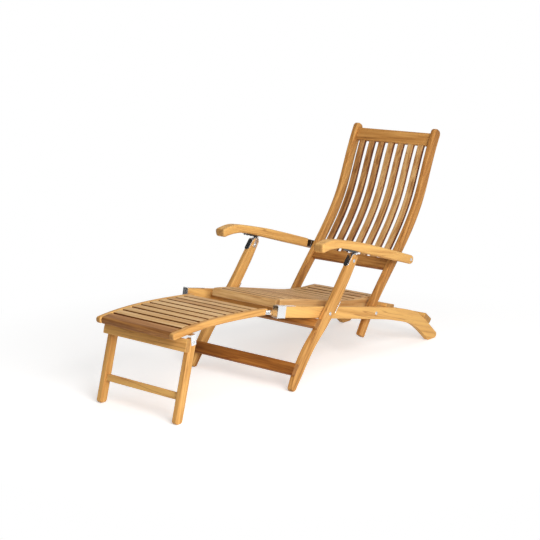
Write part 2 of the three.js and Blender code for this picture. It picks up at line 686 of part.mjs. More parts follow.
function addArms() {
  const outline = stripOutline(arm, {
    startRounds: [ARM.noseRound, ARM.noseRound],
    endRounds: [ARM.endRound, ARM.endRound],
    stations: STATIONS * 2,
  });
  const frame = { ...arm.at(ARM.length - ARM.boltFromEnd), point: armBolt };
  const notchX = { inner: ARM_X.inner - OVERRUN, outer: ARM_X.outer - ARM.tongue };
  const notchRun = [-ARM.notchFromBolt, ARM.boltFromEnd + OVERRUN];
  const notch = slab(frame, notchRun, [-ARM.depth, ARM.depth], notchX);
  const rim = BOLT.headRadius + FIT;
  const recess = turnedPin(armBolt, [[ARM_X.outer - BOLT.head - FIT, rim], [ARM_X.outer + OVERRUN, rim]]);
  addPair('arm', cut(plank(outline, ARM_X, [boltHole(armBolt)]), notch, recess), WOOD);
  addPair('arm_rack', rackGeometry(), STEEL);

  const near = STILE_X.outer + FIT;
  const far = notchX.outer - FIT;
  const inside = { inner: near, outer: near + ARM_BRACKET.plate };
  const outside = { inner: far - ARM_BRACKET.plate, outer: far };
  const run = [-ARM_BRACKET.reach, ARM_BRACKET.behindBolt];
  const height = [-ARM_BRACKET.height / 2, ARM_BRACKET.height / 2];
  const yoke = joined(
    slab(frame, run, height, inside),
    slab(frame, run, height, outside),
    slab(frame, [run[0], run[0] + ARM_BRACKET.plate], height, { inner: near, outer: far }),
  );
  const bore = BOLT.radius + FIT + ARM_BRACKET.boltPlay;
  const hole = turnedPin(armBolt, [[near - OVERRUN, bore], [far + OVERRUN, bore]]);
  addPair('arm_bracket', cut(yoke, hole), STEEL);

  const nut = outside.inner - FIT;
  addPair('arm_pivot_bolt', turnedPin(armBolt, [
    [near, BOLT.radius],
    [nut - BOLT.nut, BOLT.radius],
    [nut - BOLT.nut, BOLT.nutRadius],
    [nut, BOLT.nutRadius],
    [nut, BOLT.radius],
    [ARM_X.outer - BOLT.head, BOLT.radius],
    [ARM_X.outer - BOLT.head, BOLT.headRadius],
    [ARM_X.outer, BOLT.headRadius * BOLT.domeShare],
  ]), STEEL);
}

// The toothed rack under an arm, with its rearmost notch on the leg's pin
function rackGeometry() {
  const place = placeBeside(arm, -1, rackPin, ARM.length / 2);
  const under = edgeFrame(arm, place, -1);
  const seatDrop = under.point.clone().sub(rackPin).dot(under.across) - PIN.radius - FIT;
  const from = place - RACK.pitch * (RACK.notches - 1) - RACK.margin;
  const to = place + RACK.margin;
  const run = (dropAt, count) => {
    const line = [];
    for (let i = 0; i <= count; i += 1) {
      const distance = THREE.MathUtils.mapLinear(i, 0, count, from, to);
      const frame = edgeFrame(arm, distance, -1);
      line.push(moved(frame.point, [frame.across, -dropAt(distance)]));
    }
    return line;
  };
  const wave = (distance) => (1 - Math.cos(2 * Math.PI * (distance - place) / RACK.pitch)) / 2;
  const steps = RACK.notches * ROUND_STEPS;
  const top = run(() => 2 * FIT, steps).reverse();
  const teeth = run((distance) => seatDrop + RACK.toothDepth * wave(distance), steps * 2);
  const plate = run(() => 2 * FIT + RACK.flange, steps);
  const middle = (LEG_X.inner + LEG_X.outer) / 2;
  const centred = (width) => ({ inner: middle - width / 2, outer: middle + width / 2 });
  return joined(
    plank([...teeth, ...top], centred(RACK.web)),
    plank([...plate, ...top], centred(RACK.width)),
  );
}

function addFootrest() {
  const outline = stripOutline(footrest, {
    startRounds: [FOOTREST.tipRound, FOOTREST.tipRound],
    endRounds: [FOOTREST.tipRound, FOOTREST.tipRound],
  });
  addPair('footrest_rail', plank(outline, FOOTREST_X, [pinHole(hinge)]), WOOD);
  const inner = FOOTREST_X.inner - FIT;
  const front = stripOutline(footrest, {
    from: FRONT_SLAT.setBack,
    to: FRONT_SLAT.setBack + FRONT_SLAT.width,
    startRounds: [0, FRONT_SLAT.round],
    stations: 2,
  });
  add('footrest_front_slat', plank(front, fullWidth(inner)), WOOD);
  const end = FOOTREST.length - FOOTREST.tipRound / 2;
  const start = FRONT_SLAT.setBack + FRONT_SLAT.width;
  add('footrest_slats', slatPanel(footrest, FOOTREST.depth, inner, start, end), WOOD);
}

function addFootrestLegs() {
  const reach = footLegPivot.y / footLegHeading.y + FOOTREST_LEG.depth;
  const size = {
    depth: FOOTREST_LEG.depth,
    bendPlaceShares: [0],
    bendDegrees: [FOOTREST_LEG.leanDegrees],
  };
  const board = bentBoard(size, reach + FOOTREST_LEG.abovePivot, footLegPivot, reach);
  const strip = stripOutline(board, {
    endRounds: [FOOTREST_LEG.topRound, FOOTREST_LEG.topRound],
    stations: 2,
  });
  const outline = standOnFloor(strip, FOOT_ROUND);
  addPair('footrest_leg', plank(outline, FOOTREST_LEG_X, [pinHole(footLegPivot)]), WOOD);

  const face = FOOTREST_LEG.depth / 2 + FIT;
  const apronTop = FOOTREST_APRON.abovePivot;
  add('footrest_apron', slab(
    footLegFrame,
    [apronTop - FOOTREST_APRON.height, apronTop],
    [face, face + FOOTREST_APRON.thickness],
    fullWidth(FOOTREST_LEG_X.outer + FOOTREST_APRON.overhang),
  ), WOOD);
  add('footrest_stretcher', slab(
    footLegFrame,
    [-STRETCHER.belowPivot, STRETCHER.height - STRETCHER.belowPivot],
    [-STRETCHER.thickness / 2, STRETCHER.thickness / 2],
    fullWidth(FOOTREST_LEG_X.inner - FIT),
  ), WOOD);
}

// A plate under each footrest rail turns down over the outside of the leg and holds its rivet
function addLegPlates() {
  const width = [-LEG_PLATE.width / 2, LEG_PLATE.width / 2];
  const outside = {
    inner: FOOTREST_LEG_X.outer + FIT,
    outer: FOOTREST_LEG_X.outer + FIT + LEG_PLATE.thickness,
  };
  const flange = slab(underFootrest, width, [-2 * FIT - LEG_PLATE.thickness, -2 * FIT],
    { inner: FOOTREST_X.outer - LEG_PLATE.underRail, outer: outside.outer });
  const fall = [-FOOTREST_LEG.belowRail - LEG_PLATE.belowPivot, -2 * FIT];
  const wall = slab(underFootrest, width, fall, outside);
  const bore = PIN.radius + FIT;
  const hole = turnedPin(footLegPivot, [[outside.inner - OVERRUN, bore], [outside.outer + OVERRUN, bore]]);
  addPair('footrest_leg_plate', cut(joined(flange, wall), hole), STEEL);
  addPair('footrest_leg_rivet', turnedPin(footLegPivot, [
    [FOOTREST_LEG_X.inner - FIT - PIN.head, PIN.headRadius],
    [FOOTREST_LEG_X.inner - FIT, PIN.headRadius],
    [FOOTREST_LEG_X.inner - FIT, PIN.radius],
    [outside.outer + FIT, PIN.radius],
    [outside.outer + FIT, PIN.headRadius],
    [outside.outer + FIT + PIN.head, PIN.headRadius],
  ]), STEEL);
}

addSideRails();
addCrossBoards();
addRailBrackets();
addSeat();
addFrontLegs();
addLegTops();
addBack();
addArms();
addFootrest();
addFootrestLegs();
addLegPlates();

const bounds = new THREE.Box3().setFromObject(chair);
chair.position.y = -(bounds.min.y + bounds.max.y) / 2;
chair.position.z = -bounds.min.z;

export default chair;
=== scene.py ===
"""A wooden steamer deck chair with bright steel fittings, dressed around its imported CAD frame.

Every board is a surface worked out on a grid: its side view is a strip along a curved middle
line, and that strip is pushed across the chair with rounded edges. Every pin is a profile turned
round its own axis. Sizes are in millimetres. A side view is a pair (Y, Z), with Y from the front
legs' pivot and Z from the floor.
"""

import logging
import math
import zlib
from dataclasses import dataclass, field
from enum import Enum
from typing import Callable, Iterable, Sequence

import bpy
import numpy as np
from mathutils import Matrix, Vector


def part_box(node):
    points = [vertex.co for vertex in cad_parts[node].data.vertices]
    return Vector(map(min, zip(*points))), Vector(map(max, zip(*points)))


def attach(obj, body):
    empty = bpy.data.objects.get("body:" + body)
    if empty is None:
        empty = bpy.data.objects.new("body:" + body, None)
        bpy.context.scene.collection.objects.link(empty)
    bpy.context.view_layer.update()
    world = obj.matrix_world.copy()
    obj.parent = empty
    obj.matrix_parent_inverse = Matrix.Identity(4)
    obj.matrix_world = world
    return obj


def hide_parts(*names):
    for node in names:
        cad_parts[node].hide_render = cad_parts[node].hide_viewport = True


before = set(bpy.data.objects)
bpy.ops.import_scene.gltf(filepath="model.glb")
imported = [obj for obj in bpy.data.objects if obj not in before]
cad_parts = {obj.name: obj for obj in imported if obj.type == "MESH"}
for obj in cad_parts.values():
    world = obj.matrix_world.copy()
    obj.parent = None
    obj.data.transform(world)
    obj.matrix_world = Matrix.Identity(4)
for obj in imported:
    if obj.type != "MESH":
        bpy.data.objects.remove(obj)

LOG = logging.getLogger("deck_chair")
MM = 0.001
Array = np.ndarray
Row = tuple[float, ...]

# How finely curves and roundings are stepped, and how far ahead a line's own slope is read
LINE_STEPS = 960
EDGE_POINTS = 56
CORNER_STEPS = 14
ARRIS_STEPS = 7
UNFOLD_PASSES = 12
TURN_SIDES = 48
PROBE = 2.0

# Half of the width over the arms, the boards' thickness, the play between two pieces, and how
# far inside its rounded edge a flat side has its first row of points
HALF_WIDTH = 299.0
STOCK = 26.0
FIT = 0.3
HOLD = 0.6

# How far a board can lie from the pith and along the tree, how much its rings run out, and how
# much one board's tone strays from another's
FROM_PITH = (45.0, 130.0)
ALONG_TREE = 4000.0
RUN_OUT = 0.035
TONE_SPREAD, TONE_LIMIT = 0.3, 0.6

# From which share of facing a surface counts as end cut or as the side of a gap, which gets
# painted shade, and over which share that sets in
END_CUT_FROM, END_CUT_OVER = 0.55, 0.42
GAP_FROM, GAP_OVER = 0.45, 0.4


class Side(Enum):
    """The two sides of the chair, as the sitter sees them."""

    LEFT = 1
    RIGHT = -1

    @property
    def label(self) -> str:
        """The side's word in a node's name."""
        return self.name.lower()


class Body(Enum):
    """The moving bodies of the chair."""

    BASE = "base"
    FRONT_LEGS = "front_legs"
    BACK_PIVOTS = "back_pivots"
    BACK = "back"
    ARM_PIVOTS = "arm_pivots"
    ARMS = "arms"
    FOOTREST = "footrest"
    FOOTREST_LEGS = "footrest_legs"


class Slot(Enum):
    """The record's material slots."""

    FRAME = "frame_wood"
    SLATS = "slat_wood"
    BRACKETS = "bracket_steel"
    BOLTS = "bolt_steel"


@dataclass(frozen=True)
class Layer:
    """The space that a board takes across the chair, on the left side."""

    inner: float
    outer: float

    @classmethod
    def below(cls, outer: float, thickness: float = STOCK) -> "Layer":
        """The layer that starts at an outer place and is as thick as given."""
        return cls(outer - thickness, outer)

    @classmethod
    def across(cls, half: float) -> "Layer":
        """The layer that runs right across the chair."""
        return cls(-half, half)


# The layers of the left side's boards, from the arms inwards, with the steps between them
ARM_X = Layer.below(HALF_WIDTH, 53.0)
LEG_X = Layer.below(HALF_WIDTH - 9.0)
RAIL_X = Layer.below(LEG_X.inner - 3.0)
STILE_X = Layer.below(RAIL_X.inner - 2.0)
FOOTREST_X = Layer.below(RAIL_X.inner - 22.0)
FOOTREST_LEG_X = Layer.below(FOOTREST_X.outer + 8.0)
SEAT_X = Layer.below(FOOTREST_X.inner - 11.0, 22.0)


def leg_pivot_place() -> tuple[float, float]:
    """The front legs' pivot, read from the box of its bolt.

    Returns:
        The pivot's place on Y and Z, in millimetres.
    """
    low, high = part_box("leg_pivot_bolt_left")
    return (low.y + high.y) / 2 / MM, (low.z + high.z) / 2 / MM


PIVOT_Y, PIVOT_Z = leg_pivot_place()


def unit(vectors: Array) -> Array:
    """Vectors scaled to a length of one, along their last axis."""
    return vectors / np.maximum(np.linalg.norm(vectors, axis=-1, keepdims=True), 1e-12)


def left_of(direction: Array) -> Array:
    """A side view direction turned a quarter turn to the left."""
    return np.stack([-direction[..., 1], direction[..., 0]], axis=-1)


def heading(degrees: float) -> Array:
    """The side view direction at an angle from the Y axis."""
    return np.array([math.cos(math.radians(degrees)), math.sin(math.radians(degrees))])


@dataclass(frozen=True)
class Sweep:
    """How a board bends and how deep it is, both given at shares of its length."""

    depth: float
    bend_at: Row = (0.0,)
    bend: Row = (0.0,)
    depth_at: Row = (0.0,)
    depths: Row = (1.0,)


class Board:
    """A board seen from the side: a middle line with two long edges.

    The middle line is the running sum of short steps, whose heading is read from the bend table.
    The edges stand off it by half of the depth, square to the heading.
    """

    def __init__(self, sweep: Sweep, length: float, through: Array, distance: float,
                 turn: float = 0.0, run: float | None = None) -> None:
        """Works out the middle line.

        Args:
            sweep: The bend and depth tables.
            length: The length along the middle line.
            through: A point that the line passes through.
            distance: How far along the line that point lies.
            turn: A turn of the whole board, in degrees.
            run: The length over which the tables are read.
        """
        self.length = length
        run = run or length
        self.places = np.linspace(0.0, length, LINE_STEPS + 1)
        middles = (self.places[1:] + self.places[:-1]) / 2
        angles = np.radians(turn + np.interp(middles / run, sweep.bend_at, sweep.bend))
        steps = np.column_stack([np.cos(angles), np.sin(angles)]) * (length / LINE_STEPS)
        line = np.vstack([np.zeros(2), np.cumsum(steps, axis=0)])
        self.headings = np.radians(turn + np.interp(self.places / run, sweep.bend_at, sweep.bend))
        depths = sweep.depth * np.interp(self.places / run, sweep.depth_at, sweep.depths)
        # The depths are evened out over a twelfth of the board, so that no table entry shows
        reach = LINE_STEPS // 24
        window = np.hanning(2 * reach + 1)
        padded = np.pad(depths, reach, mode="edge")
        self.depths = np.convolve(padded, window / window.sum(), mode="valid")
        self.line = line
        self.line = line + (np.asarray(through) - self.point(np.array([distance]))[0])

    def point(self, at: Array) -> Array:
        """Points of the middle line at places along it."""
        return np.column_stack([np.interp(at, self.places, self.line[:, k]) for k in (0, 1)])

    def along(self, at: Array) -> Array:
        """The heading at places along the line, as unit vectors."""
        angle = np.interp(at, self.places, self.headings)
        return np.column_stack([np.cos(angle), np.sin(angle)])

    def depth(self, at: Array) -> Array:
        """The depth at places along the line."""
        return np.interp(at, self.places, self.depths)

    def edge(self, at: Array, side: float, out: float | Array = 0.0) -> Array:
        """Points on a long edge, or further out by a distance.

        Args:
            at: Places along the line.
            side: 1 for the upper or front edge, -1 for the other.
            out: How far outside the edge the points lie.

        Returns:
            The points, one row each.
        """
        stand = side * (self.depth(at) / 2 + out)
        return self.point(at) + left_of(self.along(at)) * np.reshape(stand, (-1, 1))

    def edge_frame(self, at: float, side: float) -> "SideFrame":
        """The frame on a long edge, turned to that edge's own slope.

        Args:
            at: The place along the line.
            side: 1 for the upper or front edge, -1 for the other.

        Returns:
            The frame.
        """
        reach = self.length / 240
        near, here, far = self.edge(np.array([at - reach, at, at + reach]), side)
        return SideFrame(here, unit(far - near))

    def frame_at(self, at: float) -> "SideFrame":
        """The frame on the middle line."""
        place = np.array([at])
        return SideFrame(self.point(place)[0], self.along(place)[0])


@dataclass(frozen=True)
class SideFrame:
    """A point in the side view with a direction along and one to its left."""

    point: Array
    along: Array

    @property
    def across(self) -> Array:
        """The direction to the left of along."""
        return left_of(self.along)

    def at(self, far: float, up: float) -> Array:
        """The point that lies this far along and this far across."""
        return self.point + self.along * far + self.across * up


@dataclass
class Strip:
    """The side view outline of a piece: a lower and an upper line with as many points each."""

    lower: Array
    upper: Array

    @classmethod
    def on_board(cls, board: Board, start: float = 0.0, end: float | None = None,
                 rounds: Row = (2.0, 2.0, 2.0, 2.0), depth: float | None = None,
                 set_back: float = 0.0, floor: "Foot | None" = None,
                 points: int = EDGE_POINTS) -> "Strip":
        """A strip along a board, with its four corners rounded.

        Each corner is an arc that touches the long edge and the end face, and between the corners
        the points lie at even places along the edge.

        Args:
            board: The board whose middle line is followed.
            start: Where the strip starts.
            end: Where it ends, or the board's end.
            rounds: Radii at the lower start, upper start, lower end and upper end.
            depth: The strip's own depth, measured from the upper edge, or the board's.
            set_back: How far the strip's upper line lies inside the board's upper edge.
            floor: The end that is cut level with the floor, if any.
            points: Points along each edge between the corners.

        Returns:
            The outline.
        """
        end = board.length if end is None else end

        def edge(at: Array, side: float) -> Array:
            """Points on the strip's own long edge.

            Args:
                at: Places along the board's line.
                side: 1 for the upper edge, -1 for the lower.

            Returns:
                The points, one row each.
            """
            if depth is None:
                return board.edge(at, side, -set_back if side > 0 else set_back)
            drop = 0.0 if side > 0 else -depth
            across = left_of(board.along(at))
            return board.edge(at, 1.0, -set_back) + across * drop

        limits = {(-1.0, 0): start, (1.0, 0): start, (-1.0, 1): end, (1.0, 1): end}
        if floor is not None:
            for side in (-1.0, 1.0):
                heights = edge(board.places, side)[:, 1]
                crossing = np.flatnonzero(np.diff(np.sign(heights - floor.height)) != 0)
                limits[side, floor.end] = board.places[crossing[-floor.end]]
        lines = []
        for side, (first, last) in ((-1.0, (0, 2)), (1.0, (1, 3))):
            arcs = []
            reaches = []
            for which, radius in ((0, rounds[first]), (1, rounds[last])):
                here = edge(np.array([limits[side, which]]), side)[0]
                other = edge(np.array([limits[-side, which]]), -side)[0]
                inwards = 1.0 if which == 0 else -1.0
                ahead = edge(np.array([limits[side, which] + inwards * PROBE]), side)[0] - here
                arc, reach = corner_arc(here, unit(ahead), unit(other - here), radius)
                arcs.append(arc)
                reaches.append(reach * PROBE / float(np.linalg.norm(ahead)))
            at = np.linspace(limits[side, 0] + reaches[0], limits[side, 1] - reaches[1], points)
            line = np.vstack([arcs[0][:-1], edge(at, side), arcs[1][::-1][1:]])
            if floor is not None:
                line[:, 1] = np.maximum(line[:, 1], floor.height)
            lines.append(line)
        return cls(lines[0], lines[1])

    @classmethod
    def block(cls, place: SideFrame, run: Sequence[float], rise: Sequence[float],
              radius: float = 2.0) -> "Strip":
        """A straight block drawn in a frame, with rounded corners.

        Args:
            place: The frame.
            run: Where it starts and ends along the frame.
            rise: Where it starts and ends across the frame.
            radius: The radius of its corners.

        Returns:
            The outline.
        """
        sweep = Sweep(depth=rise[1] - rise[0], bend=(math.degrees(math.atan2(*place.along[::-1])),))
        board = Board(sweep, run[1] - run[0], place.at(run[0], (rise[0] + rise[1]) / 2), 0.0)
        return cls.on_board(board, rounds=(radius,) * 4, points=8)

    def loop(self, rows: Array) -> Array:
        """The closed outline, with points on both end faces.

        Args:
            rows: Shares of the height, from 0 to 1, at which those points lie.

        Returns:
            The points in turn: lower line, end face, upper line and start face.
        """
        inside = rows[1:-1, None]
        end_face = self.lower[-1] * (1 - inside) + self.upper[-1] * inside
        start_face = self.upper[0] * inside[::-1] + self.lower[0] * (1 - inside[::-1])
        return np.vstack([self.lower, end_face, self.upper[::-1], start_face])


@dataclass(frozen=True)
class Foot:
    """The end of a board that is cut level, 0 for its start and 1 for its end."""

    end: int
    height: float = 0.0


def corner_arc(corner: Array, to_edge: Array, to_face: Array, radius: float) -> tuple[Array, float]:
    """The arc that rounds a corner, from the end face to the long edge.

    The centre lies on the corner's bisector, and the points turn evenly between the two
    directions in which the arc touches its lines.

    Args:
        corner: The sharp corner.
        to_edge: The direction along the long edge, away from the corner.
        to_face: The direction along the end face, away from the corner.
        radius: The arc's radius.

    Returns:
        The arc's points, and how far along the edge it ends.
    """
    half = math.acos(float(np.clip(to_edge @ to_face, -1, 1))) / 2
    reach = radius / math.tan(half)
    centre = corner + unit(to_edge + to_face) * radius / math.sin(half)
    first, last = unit(corner + to_face * reach - centre), unit(corner + to_edge * reach - centre)
    turn = math.pi - 2 * half
    share = np.linspace(0, 1, CORNER_STEPS + 1)[:, None]
    arc = (np.sin((1 - share) * turn) * first + np.sin(share * turn) * last) / math.sin(turn)
    return centre + arc * radius, reach


def drawn_in(loop: Array, inset: float) -> Array:
    """A closed outline moved inwards, square to itself, by the same distance everywhere.

    Where a corner is sharper than the distance, the points that would pass each other, so that
    the line between them turns back, are drawn together at their mean place.

    Args:
        loop: The outline.
        inset: The distance.

    Returns:
        The inner outline, with as many points.
    """
    ahead = np.roll(loop, -1, axis=0) - loop
    before = left_of(unit(loop - np.roll(loop, 1, axis=0)))
    middle = unit(before + left_of(unit(ahead)))
    stretch = 1 / np.maximum((middle * before).sum(axis=1, keepdims=True), 0.5)
    moved = loop + middle * inset * stretch
    for _ in range(UNFOLD_PASSES):
        folded = ((np.roll(moved, -1, axis=0) - moved) * ahead).sum(axis=1) < 0
        if not folded.any() or folded.all():
            break
        order = np.roll(np.arange(len(loop)), -1 - int(np.argmin(folded)))
        group = np.concatenate([[0], np.cumsum(~folded[order[:-1]])])
        total = np.zeros((group[-1] + 1, 2))
        np.add.at(total, group, moved[order])
        moved[order] = (total / np.bincount(group)[:, None])[group]
    return moved


@dataclass(frozen=True)
class Grain:
    """How a board was sawn: the way its fibres run, and where it lay in the tree."""

    fibre: Row
    seed: str
    # How much lighter the board is drawn: partly its own tone, partly painted light and shade
    shade: float = 0.0

    def coordinates(self, points: Array) -> Array:
        """Places in the tree, in millimetres: along the fibres, and two ways across them.

        The board's points are turned to its fibres and moved to a place beside the pith that the
        board's name gives, with a slight slope, so that growth rings run out along the board.

        Args:
            points: The board's points.

        Returns:
            Their places in the tree, one row each.
        """
        chance = np.random.default_rng(zlib.crc32(self.seed.encode()))
        fibre = unit(np.array(self.fibre, float))
        helper = np.array([0.0, 0.0, 1.0]) if abs(fibre[2]) < 0.9 else np.array([0.0, 1.0, 0.0])
        second = unit(np.cross(helper, fibre))
        third = np.cross(fibre, second)
        local = (points - points.mean(axis=0)) @ np.stack([fibre, second, third], axis=1)
        angle = chance.uniform(0, 2 * math.pi)
        distance = chance.uniform(*FROM_PITH)
        slope = chance.uniform(-RUN_OUT, RUN_OUT, 2)
        local[:, 1] += math.cos(angle) * distance + local[:, 0] * slope[0]
        local[:, 2] += math.sin(angle) * distance + local[:, 0] * slope[1]
        local[:, 0] += chance.uniform(-ALONG_TREE, ALONG_TREE)
        return local

    @property
    def tone(self) -> float:
        """How much lighter (1) or darker (-1) this board is drawn: its own tone and painted light
        and shade.
        """
        chance = np.random.default_rng(zlib.crc32(self.seed.encode()) + 1)
        return self.shade + float(np.clip(chance.normal(0, TONE_SPREAD), -TONE_LIMIT, TONE_LIMIT))


@dataclass
class Shell:
    """A closed surface in millimetres, with its grain."""

    points: Array
    faces: list[list[int]]
    grain: Array = field(default_factory=lambda: np.zeros((0, 3)))
    # The board's tone, which also carries painted light and shade
    tone: Array = field(default_factory=lambda: np.zeros(0))
    end_cut: Array = field(default_factory=lambda: np.zeros(0))
    # Where it faces a close neighbour, a mark for painted shade
    gap: Array = field(default_factory=lambda: np.zeros(0))

    def sawn(self, grain: Grain, gap_way: Row = (0.0, 0.0, 0.0)) -> "Shell":
        """The shell with the grain of a board.

        Args:
            grain: The board's grain.
            gap_way: The way in which close neighbours lie, whose facing sides get painted shade.

        Returns:
            The same shell, with marks where its fibres are cut across and where it faces a gap,
            which is painted shade.
        """
        self.grain = grain.coordinates(self.points)
        self.tone = np.full(len(self.points), grain.tone)
        out = self.normals()
        fibre = unit(np.array(grain.fibre, float))
        facing = np.abs(out @ np.array(gap_way, float))
        self.end_cut = np.clip((np.abs(out @ fibre) - END_CUT_FROM) / END_CUT_OVER, 0, 1)
        # Sides that face a close neighbour get a mark for painted shade
        self.gap = np.clip((facing - GAP_FROM) / GAP_OVER, 0, 1)
        return self

    def normals(self) -> Array:
        """The direction out of the surface at each point.

        It is the sum of the cross products of the diagonals of the four-sided faces round it.

        Returns:
            Vectors of length one, one row for each point.
        """
        quads = np.array([face for face in self.faces if len(face) == 4])
        out = np.zeros_like(self.points)
        cross = np.cross(self.points[quads[:, 2]] - self.points[quads[:, 0]],
                         self.points[quads[:, 3]] - self.points[quads[:, 1]])
        for corner in range(4):
            np.add.at(out, quads[:, corner], cross)
        return unit(out)

    def mirrored(self) -> "Shell":
        """The same shell on the other side of the chair, with its faces turned to face out.

        Returns:
            The mirror image, with the same marks.
        """
        flip = np.array([-1.0, 1.0, 1.0])
        faces = [face[::-1] for face in self.faces]
        return Shell(self.points * flip, faces, self.grain, self.tone, self.end_cut, self.gap)

    @staticmethod
    def together(shells: Iterable["Shell"]) -> "Shell":
        """Several shells as one mesh.

        Args:
            shells: The shells, all with grain or all without.

        Returns:
            One shell with all their points, faces and marks.
        """
        shells = list(shells)
        starts = np.cumsum([0] + [len(shell.points) for shell in shells[:-1]])
        faces = [[corner + int(start) for corner in face]
                 for shell, start in zip(shells, starts) for face in shell.faces]

        def stacked(name: str) -> Array:
            """One mark of all the shells in turn."""
            return np.concatenate([getattr(shell, name) for shell in shells])

        return Shell(stacked("points"), faces, stacked("grain"), stacked("tone"),
                     stacked("end_cut"), stacked("gap"))


def grid_faces(index: Array) -> list[list[int]]:
    """The four-sided faces of a grid of point numbers, turned left from its first axis."""
    corners = (index[:-1, :-1], index[1:, :-1], index[1:, 1:], index[:-1, 1:])
    return np.stack(corners, axis=-1).reshape(-1, 4).tolist()


def pushed(strip: Strip, space: Layer, arris: float = 4.0, inner: Array | None = None,
           outer: Array | None = None) -> Shell:
    """A side view pushed across the chair, with every edge of it rounded.

    The surface has one parameter round the outline and one across the chair. Across, the outline
    is drawn in by arris * (1 - sin a) while X moves by arris * (1 - cos a), for a quarter turn of
    a, and the same again at the far side. The two flat sides are grids from the lower to the
    upper line.

    Args:
        strip: The side view.
        space: The layer that the board takes.
        arris: The radius of its edges.
        inner: Where the inner side lies at each point of the strip, if it isn't flat.
        outer: Where the outer side lies, in the same way.

    Returns:
        The closed shell.
    """
    height = float(np.linalg.norm(strip.upper - strip.lower, axis=1).max())
    rows = np.array([0.0, HOLD / height, 1 - HOLD / height, 1.0])
    loop = strip.loop(rows)
    count = len(strip.lower)

    def all_round(side: Array) -> Array:
        """Places given along the strip, as places round its outline."""
        return np.concatenate([side, np.repeat(side[-1], 2), side[::-1], np.repeat(side[0], 2)])

    low = all_round(np.full(count, space.inner) if inner is None else inner)
    high = all_round(np.full(count, space.outer) if outer is None else outer)
    turn = np.linspace(0, math.pi / 2, ARRIS_STEPS + 1)
    into = np.append(arris * (1 - np.cos(turn)), arris + HOLD)
    inset = np.append(arris * (1 - np.sin(turn)), 0.0)
    rings = []
    for move, draw in zip(into, inset):
        rings.append(np.column_stack([low + move, drawn_in(loop, draw)]))
    for move, draw in zip(into[::-1], inset[::-1]):
        rings.append(np.column_stack([high - move, drawn_in(loop, draw)]))
    points = np.vstack(rings)
    size = len(loop)
    index = np.arange(len(points)).reshape(len(rings), size)
    round_index = np.hstack([index, index[:, :1]])
    faces = grid_faces(round_index.T)

    start = len(points)
    extra = []
    for ring, outwards in ((index[0], False), (index[-1], True)):
        lower = ring[:count]
        upper = ring[count + 2:2 * count + 2][::-1]
        ends = ring[count:count + 2]
        starts = ring[2 * count + 2:][::-1]
        inside = np.arange(start, start + 2 * (count - 2)).reshape(2, count - 2)
        start += inside.size
        for share in rows[1:-1]:
            extra.append(points[lower[1:-1]] * (1 - share) + points[upper[1:-1]] * share)
        middle = np.column_stack([starts, inside, ends])
        face_grid = np.vstack([lower, middle, upper]).T
        faces += grid_faces(face_grid) if outwards else grid_faces(face_grid[::-1])
    points = np.vstack([points, *extra])
    points[:, 1] += PIVOT_Y
    return Shell(points, faces)


def turned(centre: Array, rows: Sequence[Row]) -> Shell:
    """A profile turned round an axis that runs across the chair.

    A point is (place, radius * cos a, radius * sin a) for a full turn of a, and the first and
    last circles are closed by a pole on the axis.

    Args:
        centre: The axis in the side view.
        rows: Places on X with their radii.

    Returns:
        The closed shell.
    """
    table = np.array(rows, float)
    angle = np.linspace(0, 2 * math.pi, TURN_SIDES, endpoint=False)
    x = np.repeat(table[:, :1], TURN_SIDES, axis=1)
    y = centre[0] + table[:, 1:] * np.cos(angle) + PIVOT_Y
    z = centre[1] + table[:, 1:] * np.sin(angle)
    points = np.stack([x, y, z], axis=-1).reshape(-1, 3)
    index = np.arange(len(points)).reshape(len(table), TURN_SIDES)
    faces = grid_faces(np.hstack([index, index[:, :1]]).T)
    poles = np.array([[table[0, 0], centre[0] + PIVOT_Y, centre[1]],
                      [table[-1, 0], centre[0] + PIVOT_Y, centre[1]]])
    first, last = len(points), len(points) + 1
    for k in range(TURN_SIDES):
        after = (k + 1) % TURN_SIDES
        faces.append([first, int(index[0, after]), int(index[0, k])])
        faces.append([last, int(index[-1, k]), int(index[-1, after])])
    return Shell(np.vstack([points, poles]), faces)


def dome(place: float, radius: float, height: float, steps: int = 6) -> list[Row]:
    """The rows of a low domed head that stands outwards from a place, with a rounded rim.

    Above the rim, the place grows with sin a and the radius shrinks with cos a.

    Args:
        place: Where the head starts on X.
        radius: Its radius.
        height: How far it stands out.
        steps: How many rows its crown has.

    Returns:
        Places on X with their radii.
    """
    angle = np.linspace(0, math.pi / 2 * 0.94, steps)
    rim = [(place, radius * 0.96), (place + height * 0.15, radius)]
    crown = [(place + height * (0.35 + 0.65 * math.sin(a)), radius * (0.97 * math.cos(a) + 0.01))
             for a in angle]
    return rim + crown


def backwards(rows: Iterable[Row]) -> list[Row]:
    """Rows in the other order, for a profile that is written from its far end."""
    return list(rows)[::-1]


def linear(hex_colour: str) -> tuple[float, float, float, float]:
    """An sRGB colour as linear light.

    Args:
        hex_colour: The colour, such as "#c8904f".

    Returns:
        Red, green, blue and an alpha of one.
    """
    value = np.array([int(hex_colour[k:k + 2], 16) / 255 for k in (1, 3, 5)])
    light = np.where(value <= 0.04045, value / 12.92, ((value + 0.055) / 1.055) ** 2.4)
    return (*map(float, light), 1.0)


# The colour sockets of Blender's Mix node, which share their names with its other kinds
MIX_SHARE, MIX_FIRST, MIX_SECOND, MIX_COLOUR = 0, 6, 7, 2
Link = tuple[bpy.types.Node, str | int]


def empty_tree(owner: bpy.types.Material | bpy.types.World) -> bpy.types.NodeTree:
    """The node tree of a material or world, with nothing in it.

    Args:
        owner: The material or world.

    Returns:
        Its node tree.
    """
    owner.use_nodes = True
    owner.node_tree.nodes.clear()
    return owner.node_tree


